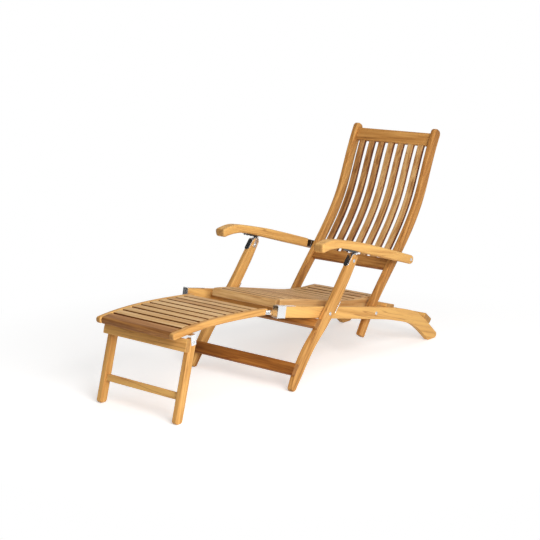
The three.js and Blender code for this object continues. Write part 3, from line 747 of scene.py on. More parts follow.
def add_node(tree: bpy.types.NodeTree, kind: str, settings: dict[str, object] | None = None,
             inputs: dict[str | int, object] | None = None, output: str | int = 0) -> Link:
    """Adds a node, sets it up and links its inputs.

    Args:
        tree: The node tree.
        kind: The node's Blender type, after the word ShaderNode.
        settings: Properties of the node.
        inputs: Values for its sockets, or another node with the output to link from.
        output: The name or number of the output that is read.

    Returns:
        The node with that output, to link from.
    """
    node = tree.nodes.new(f"ShaderNode{kind}")
    for name, value in (settings or {}).items():
        setattr(node, name, value)
    for name, value in (inputs or {}).items():
        socket = node.inputs[name]
        if isinstance(value, tuple) and isinstance(value[0], bpy.types.Node):
            tree.links.new(value[0].outputs[value[1]], socket)
        else:
            socket.default_value = value
    return node, output


@dataclass(frozen=True)
class Noise:
    """A noise stretched along the fibres, with its size in millimetres."""

    name: str
    along_mm: float
    across_mm: float
    detail: float
    roughness: float = 0.5


@dataclass(frozen=True)
class OiledHardwood:
    """Planed and sanded eucalyptus under teak oil: honey brown, satin, with long fibres.

    The oil brings out broad darker streaks along each board, fine dark pores, and an end cut
    that drinks more oil and turns darker. Real fibres and pores are a few tenths of a millimetre
    wide, too fine to show, so they are drawn 1.8 and 1.1 mm wide. The surface is close to a
    varnish's IOR of 1.5, with a weaker shine, because the sanded oil isn't a closed film.
    """

    name: str
    pale: str
    middle: str
    deep: str
    streak: str
    end: str
    # The colour that darkens a board by its tone, which is partly painted shade
    dark_board: str = "#c49c6c"
    # Painted shade on the sides that face a gap
    gap_oil: str = "#8f6a48"
    knot_stain: str = "#8a5a30"
    pore_stain: str = "#9b6a3c"
    vein_stain: str = "#9a5c34"
    roughness: float = 0.55
    shine: float = 0.22
    ring_mm: float = 15.0
    knot_mm: tuple[float, float] = (450.0, 120.0)
    ring_share: float = 0.06
    streak_share: float = 0.9
    fibre_share: float = 0.24
    patch_share: float = 0.22
    tone_share: float = 0.18
    vein_share: float = 0.5
    reach: float = 0.38
    noises: tuple[Noise, ...] = (
        Noise("wander", 520.0, 60.0, 2.0),
        Noise("streaks", 420.0, 13.0, 3.0, 0.55),
        Noise("fibres", 90.0, 1.8, 3.0, 0.6),
        Noise("pores", 26.0, 1.1, 1.0),
        Noise("patches", 700.0, 110.0, 1.0),
        Noise("vein_lines", 480.0, 20.0, 1.0, 0.4),
        Noise("vein_places", 280.0, 60.0, 1.0),
    )

    def material(self) -> bpy.types.Material:
        """Builds the node material, which reads each board's own grain.

        Returns:
            The material.
        """
        made = bpy.data.materials.new(self.name)
        tree = empty_tree(made)
        grain, tone, end_cut, gap = (
            add_node(tree, "Attribute", {"attribute_name": mark}, None, output) for mark, output
            in (("grain", "Vector"), ("tone", "Fac"), ("end_cut", "Fac"), ("gap", "Fac")))
        noise = {one.name: add_node(tree, "TexNoise", None, {
            "Vector": add_node(tree, "Mapping", {"vector_type": "TEXTURE"}, {
                "Vector": grain, "Scale": (one.along_mm, one.across_mm, one.across_mm)}),
            "Scale": 1.0, "Detail": one.detail, "Roughness": one.roughness})
            for one in self.noises}

        # Growth rings round the pith, bent by slow noise so that they wander along the board. The
        # wave turns by 20 radians in a unit of its place.
        wander = add_node(tree, "CombineXYZ", None, {
            "X": 0.0, "Y": noise["wander"], "Z": noise["wander"]})
        bent = add_node(tree, "VectorMath", {"operation": "MULTIPLY_ADD"}, {
            0: wander, 1: (0.0, 34.0, -26.0), 2: grain})
        rings = add_node(tree, "TexWave", {
            "wave_type": "RINGS", "rings_direction": "X", "wave_profile": "SIN"}, {
                "Vector": bent, "Scale": 2 * math.pi / 20 / self.ring_mm, "Distortion": 1.2,
                "Detail": 2.0, "Detail Scale": 0.6, "Detail Roughness": 0.6}, "Fac")

        # Small knots, far apart, and thin veins where slow noise crosses its middle
        along_mm, across_mm = self.knot_mm
        knots = add_node(tree, "TexVoronoi", {"feature": "F1"}, {
            "Vector": add_node(tree, "Mapping", {"vector_type": "TEXTURE"}, {
                "Vector": grain, "Scale": (along_mm, across_mm, across_mm)}), "Scale": 1.0})
        crossing = add_node(tree, "Math", {"operation": "ABSOLUTE"}, {
            0: add_node(tree, "Math", {"operation": "SUBTRACT"}, {
                0: noise["vein_lines"], 1: 0.5})})

        # Each band rises from 0 at the first value of its source to its top at the second
        band = {name: add_node(tree, "MapRange", {"interpolation_type": "SMOOTHSTEP"}, {
            "Value": source, "From Min": first, "From Max": second, "To Max": top})
            for name, source, first, second, top in (
                ("rings", rings, 0.1, 1.0, 1.0),
                ("pores", noise["pores"], 0.66, 0.74, 1.0),
                ("knots", knots, 0.16, 0.03, 1.0),
                ("veins", crossing, 0.03, 0.0, 1.0),
                ("vein_places", noise["vein_places"], 0.44, 0.62, self.vein_share),
                ("dark_board", tone, 0.2, -1.6, 0.9))}

        # The wood's own figure, with the board's tone and painted shade, a sum of shares, picks its
        # colour between pale and streak
        figure: Link | float = 0.0
        for source, share in ((band["rings"], self.ring_share),
                              (noise["streaks"], self.streak_share),
                              (noise["fibres"], self.fibre_share),
                              (noise["patches"], self.patch_share), (tone, -self.tone_share)):
            figure = add_node(tree, "Math", {"operation": "MULTIPLY_ADD"}, {
                0: source, 1: share, 2: figure})
        middle = 0.5 * (self.ring_share + self.streak_share + self.fibre_share + self.patch_share)
        colour = add_node(tree, "ValToRGB", None, {
            "Fac": add_node(tree, "MapRange", {"interpolation_type": "SMOOTHSTEP"}, {
                "Value": figure, "From Min": middle - self.reach,
                "From Max": middle + self.reach})})
        stops = ((0.0, self.pale), (0.42, self.middle), (0.75, self.deep), (1.0, self.streak))
        elements = colour[0].color_ramp.elements
        while len(elements) < len(stops):
            elements.new(0.5)
        for element, (place, stain) in zip(elements, stops):
            element.position = place
            element.color = linear(stain)

        # Stains and painted shade over it: where each lies, how strong it is there, and its colour.
        # The darkening by the board's tone is partly painted shade, and the sides of gaps get
        # painted shade.
        for blend, where, strength, stain in (
                ("MULTIPLY", band["knots"], 0.4, self.knot_stain),
                ("MULTIPLY", band["pores"], 0.3, self.pore_stain),
                ("MULTIPLY", band["veins"], band["vein_places"], self.vein_stain),
                # Partly the board's own darker tone, partly painted shade
                ("MULTIPLY", band["dark_board"], 1.0, self.dark_board),
                ("MIX", end_cut, 0.65, self.end),
                # Painted shade on the sides that face a gap
                ("MULTIPLY", gap, 1.0, self.gap_oil)):
            share = add_node(tree, "Math", {"operation": "MULTIPLY"}, {0: where, 1: strength})
            colour = add_node(tree, "Mix", {"data_type": "RGBA", "blend_type": blend}, {
                MIX_SHARE: share, MIX_FIRST: colour, MIX_SECOND: linear(stain)}, MIX_COLOUR)

        # Fibres stand up a little and are rougher, and pores lie deeper
        pits = add_node(tree, "Math", {"operation": "MULTIPLY"}, {0: band["pores"], 1: -0.8})
        height = add_node(tree, "Math", {"operation": "MULTIPLY_ADD"}, {
            0: noise["fibres"], 1: 0.6, 2: pits})
        bump = add_node(tree, "Bump", None, {
            "Height": height, "Strength": 0.35, "Distance": 0.25 * MM})
        rough = add_node(tree, "Math", {"operation": "MULTIPLY_ADD"}, {
            0: noise["fibres"], 1: 0.16, 2: self.roughness - 0.08})
        shader = add_node(tree, "BsdfPrincipled", None, {
            "Base Color": colour, "Roughness": rough, "Normal": bump, "IOR": 1.5,
            "Specular IOR Level": self.shine})
        add_node(tree, "OutputMaterial", None, {"Surface": shader})
        return made


@dataclass(frozen=True)
class PolishedStainless:
    """Stainless steel plate or bar, polished, with faint wear marks.

    The polish gives a mirror that is a little soft, so it turns white or black with what it
    faces. The racks and yokes are duller, and their darker colour is painted shade for where they
    sit, under the arms and between arm and stile.
    """

    name: str
    colour: str = "#e9eaeb"
    roughness: float = 0.2
    mark_mm: float = 3.0

    def material(self) -> bpy.types.Material:
        """Builds the node material.

        Returns:
            The material.
        """
        made = bpy.data.materials.new(self.name)
        tree = empty_tree(made)
        marks = add_node(tree, "TexNoise", None, {
            "Vector": add_node(tree, "TexCoord", None, None, "Object"),
            "Scale": 1 / (self.mark_mm * MM), "Detail": 4.0})
        rough = add_node(tree, "MapRange", None, {
            "Value": marks, "From Min": 0.3, "From Max": 0.7,
            "To Min": self.roughness * 0.75, "To Max": self.roughness * 1.35})
        bump = add_node(tree, "Bump", None, {
            "Height": marks, "Strength": 0.05, "Distance": 0.1 * MM})
        shader = add_node(tree, "BsdfPrincipled", None, {
            "Base Color": linear(self.colour), "Metallic": 1.0, "Roughness": rough,
            "Normal": bump})
        add_node(tree, "OutputMaterial", None, {"Surface": shader})
        return made


FRAME_WOOD = OiledHardwood("oiled_hardwood_frame", "#f4c270", "#e6b066", "#cb924d", "#966534",
                           "#966a3c", reach=0.46).material()
SLAT_WOOD = OiledHardwood("oiled_hardwood_slats", "#ecc48c", "#d9ab6f", "#be8a51", "#8c6036",
                          "#936a3c", tone_share=0.2).material()
PLATE_STEEL = PolishedStainless("polished_stainless_plate").material()
BOLT_STEEL = PolishedStainless("polished_stainless_bolt", "#cdcfd0", 0.16).material()
# The racks and yokes are darker in colour as painted shade, for they sit in shade under the arms
# and beside the stiles
RACK_STEEL_PAINTED_SHADE = PolishedStainless("dull_stainless_rack", "#6f7173", 0.34).material()
FINISHES = {Slot.FRAME: FRAME_WOOD, Slot.SLATS: SLAT_WOOD, Slot.BRACKETS: PLATE_STEEL,
            Slot.BOLTS: BOLT_STEEL}


def in_scene(name: str, data: bpy.types.ID) -> bpy.types.Object:
    """A new object of the scene, at the origin.

    Args:
        name: Its name.
        data: The mesh, lamp or camera that it shows.

    Returns:
        The object.
    """
    made = bpy.data.objects.new(name, data)
    bpy.context.scene.collection.objects.link(made)
    return made


def settle(node: str, shell: Shell, slot: Slot, body: Body,
           finish: bpy.types.Material | None = None) -> None:
    """Makes a shell an object of the chair, in place of a CAD node.

    Args:
        node: The CAD node that it stands for, whose name it takes.
        shell: Its surface.
        slot: The record's slot of its finish.
        body: The body that it moves with.
        finish: Its own finish, if it isn't the slot's.
    """
    mesh = bpy.data.meshes.new(f"{node}_form")
    mesh.from_pydata((shell.points * MM).tolist(), [], shell.faces)
    if len(shell.grain):
        mesh.attributes.new("grain", "FLOAT_VECTOR", "POINT").data.foreach_set(
            "vector", shell.grain.astype(np.float32).ravel())
        # The board's tone carries painted light and shade as well as its own tone, and the gap mark
        # is painted shade on the sides of gaps
        for mark in ("tone", "end_cut", "gap"):
            mesh.attributes.new(mark, "FLOAT", "POINT").data.foreach_set(
                "value", getattr(shell, mark).astype(np.float32))
    mesh.polygons.foreach_set("use_smooth", np.ones(len(mesh.polygons), bool))
    mesh.materials.append(finish or FINISHES[slot])
    mesh.update()
    piece = in_scene(mesh.name, mesh)
    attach(piece, body.value)
    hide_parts(node)
    LOG.info("%s: %d faces on %s", piece.name, len(mesh.polygons), body.value)


def settle_pair(name: str, shell: Shell, slot: Slot, body: Body,
                grain: Callable[[str], Grain] | None = None,
                finish: bpy.types.Material | None = None) -> None:
    """Settles a left piece and its mirror image, each with its own grain.

    Args:
        name: The pieces' name without their side.
        shell: The left piece's surface.
        slot: The record's slot of their finish.
        body: The body that they move with.
        grain: What gives each of them its grain, if they are wood.
        finish: Their own finish, if it isn't the slot's.
    """
    for side in Side:
        node = f"{name}_{side.label}"
        one = shell if side is Side.LEFT else shell.mirrored()
        if grain is not None:
            one = one.sawn(grain(node))
        settle(node, one, slot, body, finish)


def settle_cross(node: str, strip: Strip, half_width: float, arris: float, slot: Slot,
                 body: Body, shade: float = 0.0) -> None:
    """Settles a board that lies right across the chair, with its fibres that way too.

    Args:
        node: The CAD node that it stands for.
        strip: Its side view.
        half_width: Half of its length across the chair.
        arris: The radius of its edges.
        slot: The record's slot of its finish.
        body: The body that it moves with.
        shade: How much lighter than the mean it is, as its own tone and as painted light and shade.
    """
    shell = pushed(strip, Layer.across(half_width), arris).sawn(cross_grain(node, shade))
    settle(node, shell, slot, body)


def side_grain(board: Board, shade: float = 0.0) -> Callable[[str], Grain]:
    """The grain of boards sawn from a straight plank: their fibres run from end to end.

    Args:
        board: The middle line.
        shade: How much lighter than the mean they are, as their own tone and as painted light and
            shade.

    Returns:
        What gives a board of a name its grain.
    """
    way = board.line[-1] - board.line[0]
    return lambda seed: Grain((0.0, float(way[0]), float(way[1])), seed, shade)


def cross_grain(seed: str, shade: float = 0.0) -> Grain:
    """The grain of a board that lies across the chair."""
    return Grain((1.0, 0.0, 0.0), seed, shade)


def bolt_rows(inside: float, outside: float, radius: float = 4.0, head: float = 8.0,
              rise: float = 2.4, nut: float = 7.0, nut_rise: float = 4.0) -> list[Row]:
    """The rows of a bolt from its domed nut on the inside to its domed head on the outside.

    Args:
        inside: Where the nut meets the wood.
        outside: Where the head does.
        radius: The shank's radius.
        head: The head's radius.
        rise: How far the head stands out.
        nut: The nut's radius.
        nut_rise: How far the nut stands out.

    Returns:
        Places on X with their radii.
    """
    mirror = [(inside - (place - inside), wide) for place, wide in dome(inside, nut, nut_rise)]
    return backwards(mirror) + [(inside, radius), (outside, radius)] + dome(outside, head, rise)


@dataclass
class SideRails:
    """The two long rails, with the bars across their ends."""

    pivot_from_front: float = 311.0
    rear_reach: float = 3.45
    back_pivot_spacing: float = 376.0
    deck_behind_pivot: float = 101.0
    deck_width: float = 62.0
    deck_thick: float = 15.0
    foot_bar_from_end: float = 188.0
    foot_bar_width: float = 60.0
    sweep: Sweep = Sweep(
        63.0,
        (0, 0.578, 0.636, 0.715, 0.755, 0.79, 0.826, 0.868, 1),
        (-11.2, -11.2, -14.5, -15.5, -20, -31, -36, -40, -42.5),
        (0, 0.42, 0.62, 0.8, 1),
        (0.73, 0.83, 0.88, 0.97, 1),
    )

    def __post_init__(self) -> None:
        """Works out the rails' middle line and the places that other pieces follow."""
        length = self.pivot_from_front + PIVOT_Z * self.rear_reach
        self.pivot = np.array([0.0, PIVOT_Z])
        self.board = Board(self.sweep, length, self.pivot, self.pivot_from_front)
        self.back_at = self.pivot_from_front + self.back_pivot_spacing
        self.back_pivot = self.board.point(np.array([self.back_at]))[0]
        self.deck = self.board.edge_frame(self.back_at + self.deck_behind_pivot, 1)
        self.top = self.board.edge_frame(self.pivot_from_front, 1)

    def build(self) -> None:
        """Makes the rails and the bars."""
        strip = Strip.on_board(self.board, rounds=(4.5, 4.5, 12.0, 16.0), floor=Foot(1), points=96)
        settle_pair("side_rail", pushed(strip, RAIL_X, 4.0), Slot.FRAME, Body.BASE,
                    side_grain(self.board, -0.1))
        foot = self.board.edge_frame(self.board.length - self.foot_bar_from_end, 1)
        for node, place, width, thick in (
                ("rear_foot_bar", foot, self.foot_bar_width, STOCK),
                ("rear_deck_board", self.deck, self.deck_width, self.deck_thick)):
            strip = Strip.block(place, (-width / 2, width / 2), (FIT, FIT + thick), 4.0)
            settle_cross(node, strip, RAIL_X.outer, 2.5, Slot.FRAME, Body.BASE)


@dataclass
class Seat:
    """The seat between the rails: a nosed apron, two sides, a bearer and cross slats."""

    rails: SideRails
    length: float = 712.0
    above_rail: float = 18.0
    ahead: float = 227.0
    below_rail: float = 22.0
    apron_height: float = 34.0
    apron_thick: float = 24.0
    bearer_from_front: float = 60.0
    bearer_width: float = 40.0
    bearer_thick: float = 24.0
    side_play: float = 3.0
    deck_play: float = 5.0
    sweep: Sweep = Sweep(
        0.0,
        (0, 0.08, 0.2, 0.55, 0.64, 0.74, 0.84, 0.92, 1),
        (-5, -8, -11.3, -12, -11, -7, -3, 0, -3),
    )

    def __post_init__(self) -> None:
        """Lays the seat's curve over the rails."""
        through = self.rails.top.at(0.0, self.above_rail)
        run = self.ahead + self.rails.back_pivot_spacing + self.rails.deck_behind_pivot
        self.board = Board(self.sweep, self.length, through, self.ahead, run=run)

    def build(self) -> None:
        """Makes the seat's pieces."""
        front = self.apron_thick + FIT
        face = self.board.frame_at(front)
        block = Board(Sweep(self.apron_height, bend=(math.degrees(math.atan2(*face.along[::-1])),)),
                      self.apron_thick, face.at(-FIT, -self.apron_height / 2), self.apron_thick)
        nose = Strip.on_board(block, rounds=(5.0, 15.0, 1.5, 1.5), points=10)
        settle_cross("seat_apron", nose, SEAT_X.outer, 4.0, Slot.SLATS, Body.BASE)
        settle_pair("seat_side", pushed(self.side_strip(front), SEAT_X, 3.0), Slot.SLATS,
                    Body.BASE, side_grain(self.board))
        corner = self.rails.top.at(self.bearer_from_front - self.ahead,
                                   -self.below_rail - 2 * FIT)
        strip = Strip.block(SideFrame(corner, self.rails.top.along), (0.0, self.bearer_width),
                            (-self.bearer_thick, 0.0), 3.0)
        settle_cross("seat_bearer", strip, RAIL_X.inner - FIT, 2.0, Slot.FRAME, Body.BASE)
        panel = slat_panel(self.board, SEAT_X.inner - FIT, front, self.length, "seat_slat", 0.2)
        settle("seat_slats", panel, Slot.SLATS, Body.BASE)

    def side_strip(self, front: float) -> Strip:
        """The seat side's outline: the seat's curve above, and below it a line that follows the
        rail and steps up over the deck board.

        Args:
            front: Where the side starts along the seat's curve.

        Returns:
            The outline, with its lower line stepped at the deck board.
        """
        deck, rail = self.rails.deck, self.rails.top
        at = np.linspace(front + self.side_play, self.length - 2 * self.side_play, 90)
        upper = self.board.point(at)
        flat_drop = (upper - rail.point) @ rail.across + self.below_rail
        on_rail = upper - rail.across * flat_drop[:, None]
        deck_drop = (upper - deck.point) @ deck.across - (self.rails.deck_thick + 2 * FIT)
        on_deck = upper - deck.across * deck_drop[:, None]
        past = (upper - deck.point) @ deck.along + self.rails.deck_width / 2 + self.deck_play
        share = np.clip(past / self.side_play, 0, 1)[:, None]
        return Strip(on_rail * (1 - share) + on_deck * share, upper)


def slat_panel(board: Board, half_width: float, start: float, end: float, seed: str,
               shade: float, width: float = 39.0, gap: float = 10.6,
               thick: float = 14.0, batten_width: float = 40.0,
               batten_thick: float = 6.0) -> Shell:
    """Cross slats flush with a board's top edge, with the batten under their middle.

    Args:
        board: The middle line that they follow.
        half_width: Half of their length across the chair.
        start: Where the piece in front of them ends along the line.
        end: Where the last one has to end.
        seed: The name from which each slat's grain is drawn.
        shade: How much lighter than the mean they are, as their own tone and as painted light and
            shade.
        width: The width of a slat.
        gap: The gap between two.
        thick: Their thickness.
        batten_width: The width of the batten.
        batten_thick: Its thickness, of which the first millimetre lies inside the slats.

    Returns:
        All of them as one shell.
    """
    pitch = width + gap
    first = start + gap
    count = round((end - first) / pitch)
    shells = []
    for k in range(count):
        low = first + k * pitch
        strip = Strip.on_board(board, low, min(low + width, end), (2.0, 3.0, 2.0, 3.0), thick,
                               points=8)
        shell = pushed(strip, Layer.across(half_width), 1.5)
        along = board.along(np.array([low]))[0]
        # Their sides face the gaps between slats, and those get painted shade
        shells.append(shell.sawn(cross_grain(f"{seed}_{k}", shade), (0.0, *along)))
    batten = Strip.on_board(board, first + gap, first + (count - 1) * pitch + gap,
                            (1.5,) * 4, batten_thick, set_back=thick - 1.0, points=40)
    shells.append(pushed(batten, Layer.across(batten_width / 2), 1.2).sawn(
        side_grain(board)(f"{seed}_batten")))
    return Shell.together(shells)


@dataclass
class FrontLegs:
    """The crossing front legs, their two crossbars and the steel at their tops."""

    rails: SideRails
    above_pivot: float = 285.0
    foot_reach: float = 1.36
    lower_bar_below: float = 290.0
    lower_bar_width: float = 51.0
    lower_bar_thick: float = 22.0
    upper_bar_below: float = 77.0
    upper_bar_foot: float = 22.0
    edge_plate_above: float = 48.0
    edge_plate_length: float = 55.0
    edge_plate_thick: float = 3.0
    top_radius: float = 22.0
    strap_bolt_below: float = 29.0
    strap_down: float = 68.0
    strap_corner: float = 10.0
    strap_thick: float = 2.5
    cheek_length: float = 43.0
    cheek_width: float = 18.0
    ear_thick: float = 3.0
    pin_radius: float = 3.0
    sweep: Sweep = Sweep(
        52.0,
        (0, 0.04, 0.11, 0.18, 0.27, 0.34, 0.42, 0.5, 0.6, 0.75, 1),
        (66, 62, 57, 54, 50, 44, 42, 44, 48, 51.5, 53.5),
        (0, 0.06, 0.12, 0.25, 0.4, 0.5, 0.58, 0.86, 1),
        (0.5, 0.65, 0.88, 0.94, 0.885, 0.96, 1, 0.96, 0.77),
    )

    def __post_init__(self) -> None:
        """Works out the legs' middle line, their tops, and the bolt and pin there."""
        self.below = PIVOT_Z * self.foot_reach
        self.board = Board(self.sweep, self.below + self.above_pivot, self.rails.pivot, self.below)
        self.top = self.board.frame_at(self.board.length)
        bolt_at = self.board.length - self.strap_bolt_below
        self.strap_bolt = self.board.point(np.array([bolt_at]))[0]
        self.rack_pin = self.top.at(FIT + self.strap_thick + self.pin_radius, 0.0)

    def build(self) -> None:
        """Makes the legs and all that moves with them."""
        strip = Strip.on_board(self.board, rounds=(14.0, 14.0, 6.5, self.top_radius),
                               floor=Foot(0), points=96)
        settle_pair("front_leg", pushed(strip, LEG_X, 5.0), Slot.FRAME, Body.FRONT_LEGS,
                    side_grain(self.board, 0.0))
        bolt = turned(self.rails.pivot, bolt_rows(RAIL_X.inner - FIT, LEG_X.outer + FIT))
        settle_pair("leg_pivot_bolt", bolt, Slot.BOLTS, Body.BASE)
        self.bars()
        self.straps()

    def bars(self) -> None:
        """Makes the two crossbars and the plates on the legs' rear edges."""
        lower = self.board.edge_frame(self.below - self.lower_bar_below, 1)
        half = self.lower_bar_width / 2
        strip = Strip.block(lower, (-half, half), (2 * FIT, 2 * FIT + self.lower_bar_thick), 4.0)
        settle_cross("lower_crossbar", strip, LEG_X.outer, 3.0, Slot.FRAME, Body.FRONT_LEGS,
                     -1.05)

        face = self.board.edge_frame(self.below - self.upper_bar_below, 1)
        under_at = self.rails.pivot_from_front - self.upper_bar_below
        under = self.rails.board.edge_frame(under_at, -1)
        slope = float(face.along @ under.across)

        def ray(out: float) -> tuple[Array, Array]:
            """A line of the bar, along the leg's edge up to the rail's underside.

            Args:
                out: How far it lies from the leg.

            Returns:
                Its lower and its upper end.
            """
            foot = face.at(-self.upper_bar_foot, out)
            room = -FIT - float((foot - under.point) @ under.across)
            return foot, foot + face.along * room / slope

        strip = rounded_quad(*ray(2 * FIT), *ray(2 * FIT + STOCK), 3.5)
        settle_cross("upper_crossbar", strip, LEG_X.outer, 3.0, Slot.FRAME, Body.FRONT_LEGS,
                     -1.0)

        rear = self.board.edge_frame(self.below + self.edge_plate_above, -1)
        half = self.edge_plate_length / 2
        rise = (-2 * FIT - self.edge_plate_thick, -2 * FIT)
        plate = Strip.block(rear, (-half, half), rise, 1.2)
        settle_pair("leg_edge_plate", pushed(plate, LEG_X, 1.0), Slot.BRACKETS, Body.FRONT_LEGS)

    def straps(self) -> None:
        """Makes the steel strap over each leg's top, its ears, cheek, pin and bolt."""
        skin = 2 * FIT + self.strap_thick
        lines = [self.strap_line(2 * FIT), self.strap_line(skin)]
        # The strap's lower end is rounded: its sides are drawn in along quarter circles
        from_end = np.linalg.norm(lines[0] - lines[0][0], axis=1)[::-1]
        short = np.clip(1 - from_end / self.strap_corner, 0, 1)
        cut = self.strap_corner * (1 - np.sqrt(1 - short ** 2))
        band = pushed(Strip(lines[1][::-1], lines[0][::-1]), LEG_X, 0.8, LEG_X.inner + cut,
                      LEG_X.outer - cut)
        base = SideFrame(self.rack_pin, self.top.along)
        cheek_x = Layer.below(LEG_X.inner - FIT, self.strap_thick)
        half = self.cheek_width / 2
        cheek = Strip.block(self.top, (-self.cheek_length, skin), (-half, half), 5.0)
        fold = Strip.block(self.top, (2 * FIT, skin), (-half, 0.0), 1.0)
        pieces = [band, pushed(cheek, cheek_x, 0.8),
                  pushed(fold, Layer(cheek_x.inner, LEG_X.inner + 5.0), 0.8)]
        ear = Strip.block(base, (-4.2, 5.0), (-5.0, 5.0), 4.4)
        for inner in (LEG_X.inner, LEG_X.outer - self.ear_thick):
            pieces.append(pushed(ear, Layer(inner, inner + self.ear_thick), 0.8))
        end_radius = self.pin_radius - 0.6
        rod = [(LEG_X.inner + 0.4, end_radius), (LEG_X.inner + 0.8, self.pin_radius),
               (LEG_X.outer - 0.8, self.pin_radius), (LEG_X.outer - 0.4, end_radius)]
        pieces.append(turned(self.rack_pin, rod))
        settle_pair("leg_top_strap", Shell.together(pieces), Slot.BRACKETS, Body.FRONT_LEGS)
        bolt = turned(self.strap_bolt, bolt_rows(cheek_x.inner - FIT, LEG_X.outer + FIT))
        settle_pair("strap_bolt", bolt, Slot.BOLTS, Body.FRONT_LEGS)

    def strap_line(self, out: float) -> Array:
        """The strap's line up the leg's front edge and over its round top.

        Args:
            out: How far it stands off the leg.

        Returns:
            Its points, which crowd towards its lower end.
        """
        radius = self.top_radius
        low, high = self.board.length - self.strap_down, self.board.length - radius
        at = low + (high - low) * np.linspace(0, 1, 40) ** 2
        front = self.board.edge(at, 1, out)
        inset = np.array([high])
        along, across = self.board.along(inset)[0], left_of(self.board.along(inset))[0]
        centre = self.board.edge(inset, 1)[0] - across * radius
        angle = np.linspace(0, math.pi / 2, 17)[1:, None]
        arc = centre + (across * np.cos(angle) + along * np.sin(angle)) * (radius + out)
        tail = self.top.at(out, -5.0)
        return np.vstack([front, arc, tail])


def rounded_quad(near: Array, near_top: Array, far: Array, far_top: Array,
                 radius: float) -> Strip:
    """A four-cornered outline with rounded corners.

    Args:
        near: The start of its lower line.
        near_top: The end of its lower line.
        far: The start of its upper line.
        far_top: The end of its upper line.
        radius: The radius of its corners.

    Returns:
        The outline.
    """
    lines = []
    for first, last, other_first, other_last in ((far, far_top, near, near_top),
                                                 (near, near_top, far, far_top)):
        way = unit(last - first)
        start, reach = corner_arc(first, way, unit(other_first - first), radius)
        end, back = corner_arc(last, -way, unit(other_last - last), radius)
        share = np.linspace(0, 1, 8)[:, None]
        middle = (first + way * reach) * (1 - share) + (last - way * back) * share
        lines.append(np.vstack([start[:-1], middle, end[::-1][1:]]))
    return Strip(lines[1], lines[0])


@dataclass
class Back:
    """The reclining back: two stiles, two rails and seven slats on one curve."""

    rails: SideRails
    length: float = 1042.0
    pivot_from_tail: float = 117.0
    lumbar_from_tail: float = 334.0
    lumbar_height: float = 52.0
    top_below_end: float = 24.0
    top_height: float = 60.0
    slat_count: int = 7
    slat_width: float = 34.0
    slat_from_stile: float = 24.7
    slat_thick: float = 16.0
    slat_set_back: float = 15.0
    rail_thick: float = 22.0
    sweep: Sweep = Sweep(
        50.0,
        (0, 0.08, 0.111, 0.15, 0.25, 0.34, 0.43, 0.525, 0.567, 0.607, 0.647, 0.686, 0.725, 0.763,
         0.82, 0.875, 0.914, 1),
        (58.5, 57, 54.5, 50.5, 48, 47.3, 48.3, 51, 54.3, 56.5, 59.5, 63.3, 66.3, 68.3, 68.3, 66.6,
         65.3, 61),
        (0, 0.11, 0.23, 0.36, 0.5, 0.65, 1),
        (0.76, 0.8, 0.82, 0.88, 0.94, 0.98, 1),
    )

    def __post_init__(self) -> None:
        """Stands the back's curve on its pivot."""
        self.board = Board(self.sweep, self.length, self.rails.back_pivot, self.pivot_from_tail)

    def build(self) -> None:
        """Makes the back's pieces."""
        strip = Strip.on_board(self.board, end=self.length - 0.4, rounds=(6.5, 6.5, 21.0, 21.0),
                               points=110)
        settle_pair("back_stile", pushed(strip, STILE_X, 6.5), Slot.FRAME, Body.BACK,
                    side_grain(self.board, -0.45))
        bolt = turned(self.rails.back_pivot, bolt_rows(STILE_X.inner - FIT, RAIL_X.outer + FIT))
        settle_pair("back_pivot_bolt", bolt, Slot.BOLTS, Body.BACK_PIVOTS)
        between = STILE_X.inner - FIT
        top_from = self.length - self.top_below_end - self.top_height
        for node, start, height, back, shade in (
                ("lumbar_rail", self.lumbar_from_tail, self.lumbar_height, 10.0, -0.7),
                ("top_rail", top_from, self.top_height, 14.0, -0.4)):
            strip = Strip.on_board(self.board, start, start + height, (3.5,) * 4,
                                   self.rail_thick, back, points=16)
            settle_cross(node, strip, between, 1.5, Slot.FRAME, Body.BACK, shade)
        slat_from = self.lumbar_from_tail + self.lumbar_height + FIT
        slat = Strip.on_board(self.board, slat_from, top_from - FIT, (0.8,) * 4,
                              self.slat_thick, self.slat_set_back, points=80)
        outermost = between - self.slat_from_stile - self.slat_width / 2
        for k, middle in enumerate(np.linspace(-outermost, outermost, self.slat_count)):
            node = f"back_slat_{k + 1}"
            space = Layer(middle - self.slat_width / 2, middle + self.slat_width / 2)
            grain = side_grain(self.board, -0.5)(node)
            # Their long edges face the next slats, and those get painted shade
            settle(node, pushed(slat, space, 5.0).sawn(grain, (1.0, 0.0, 0.0)), Slot.SLATS,
                   Body.BACK)


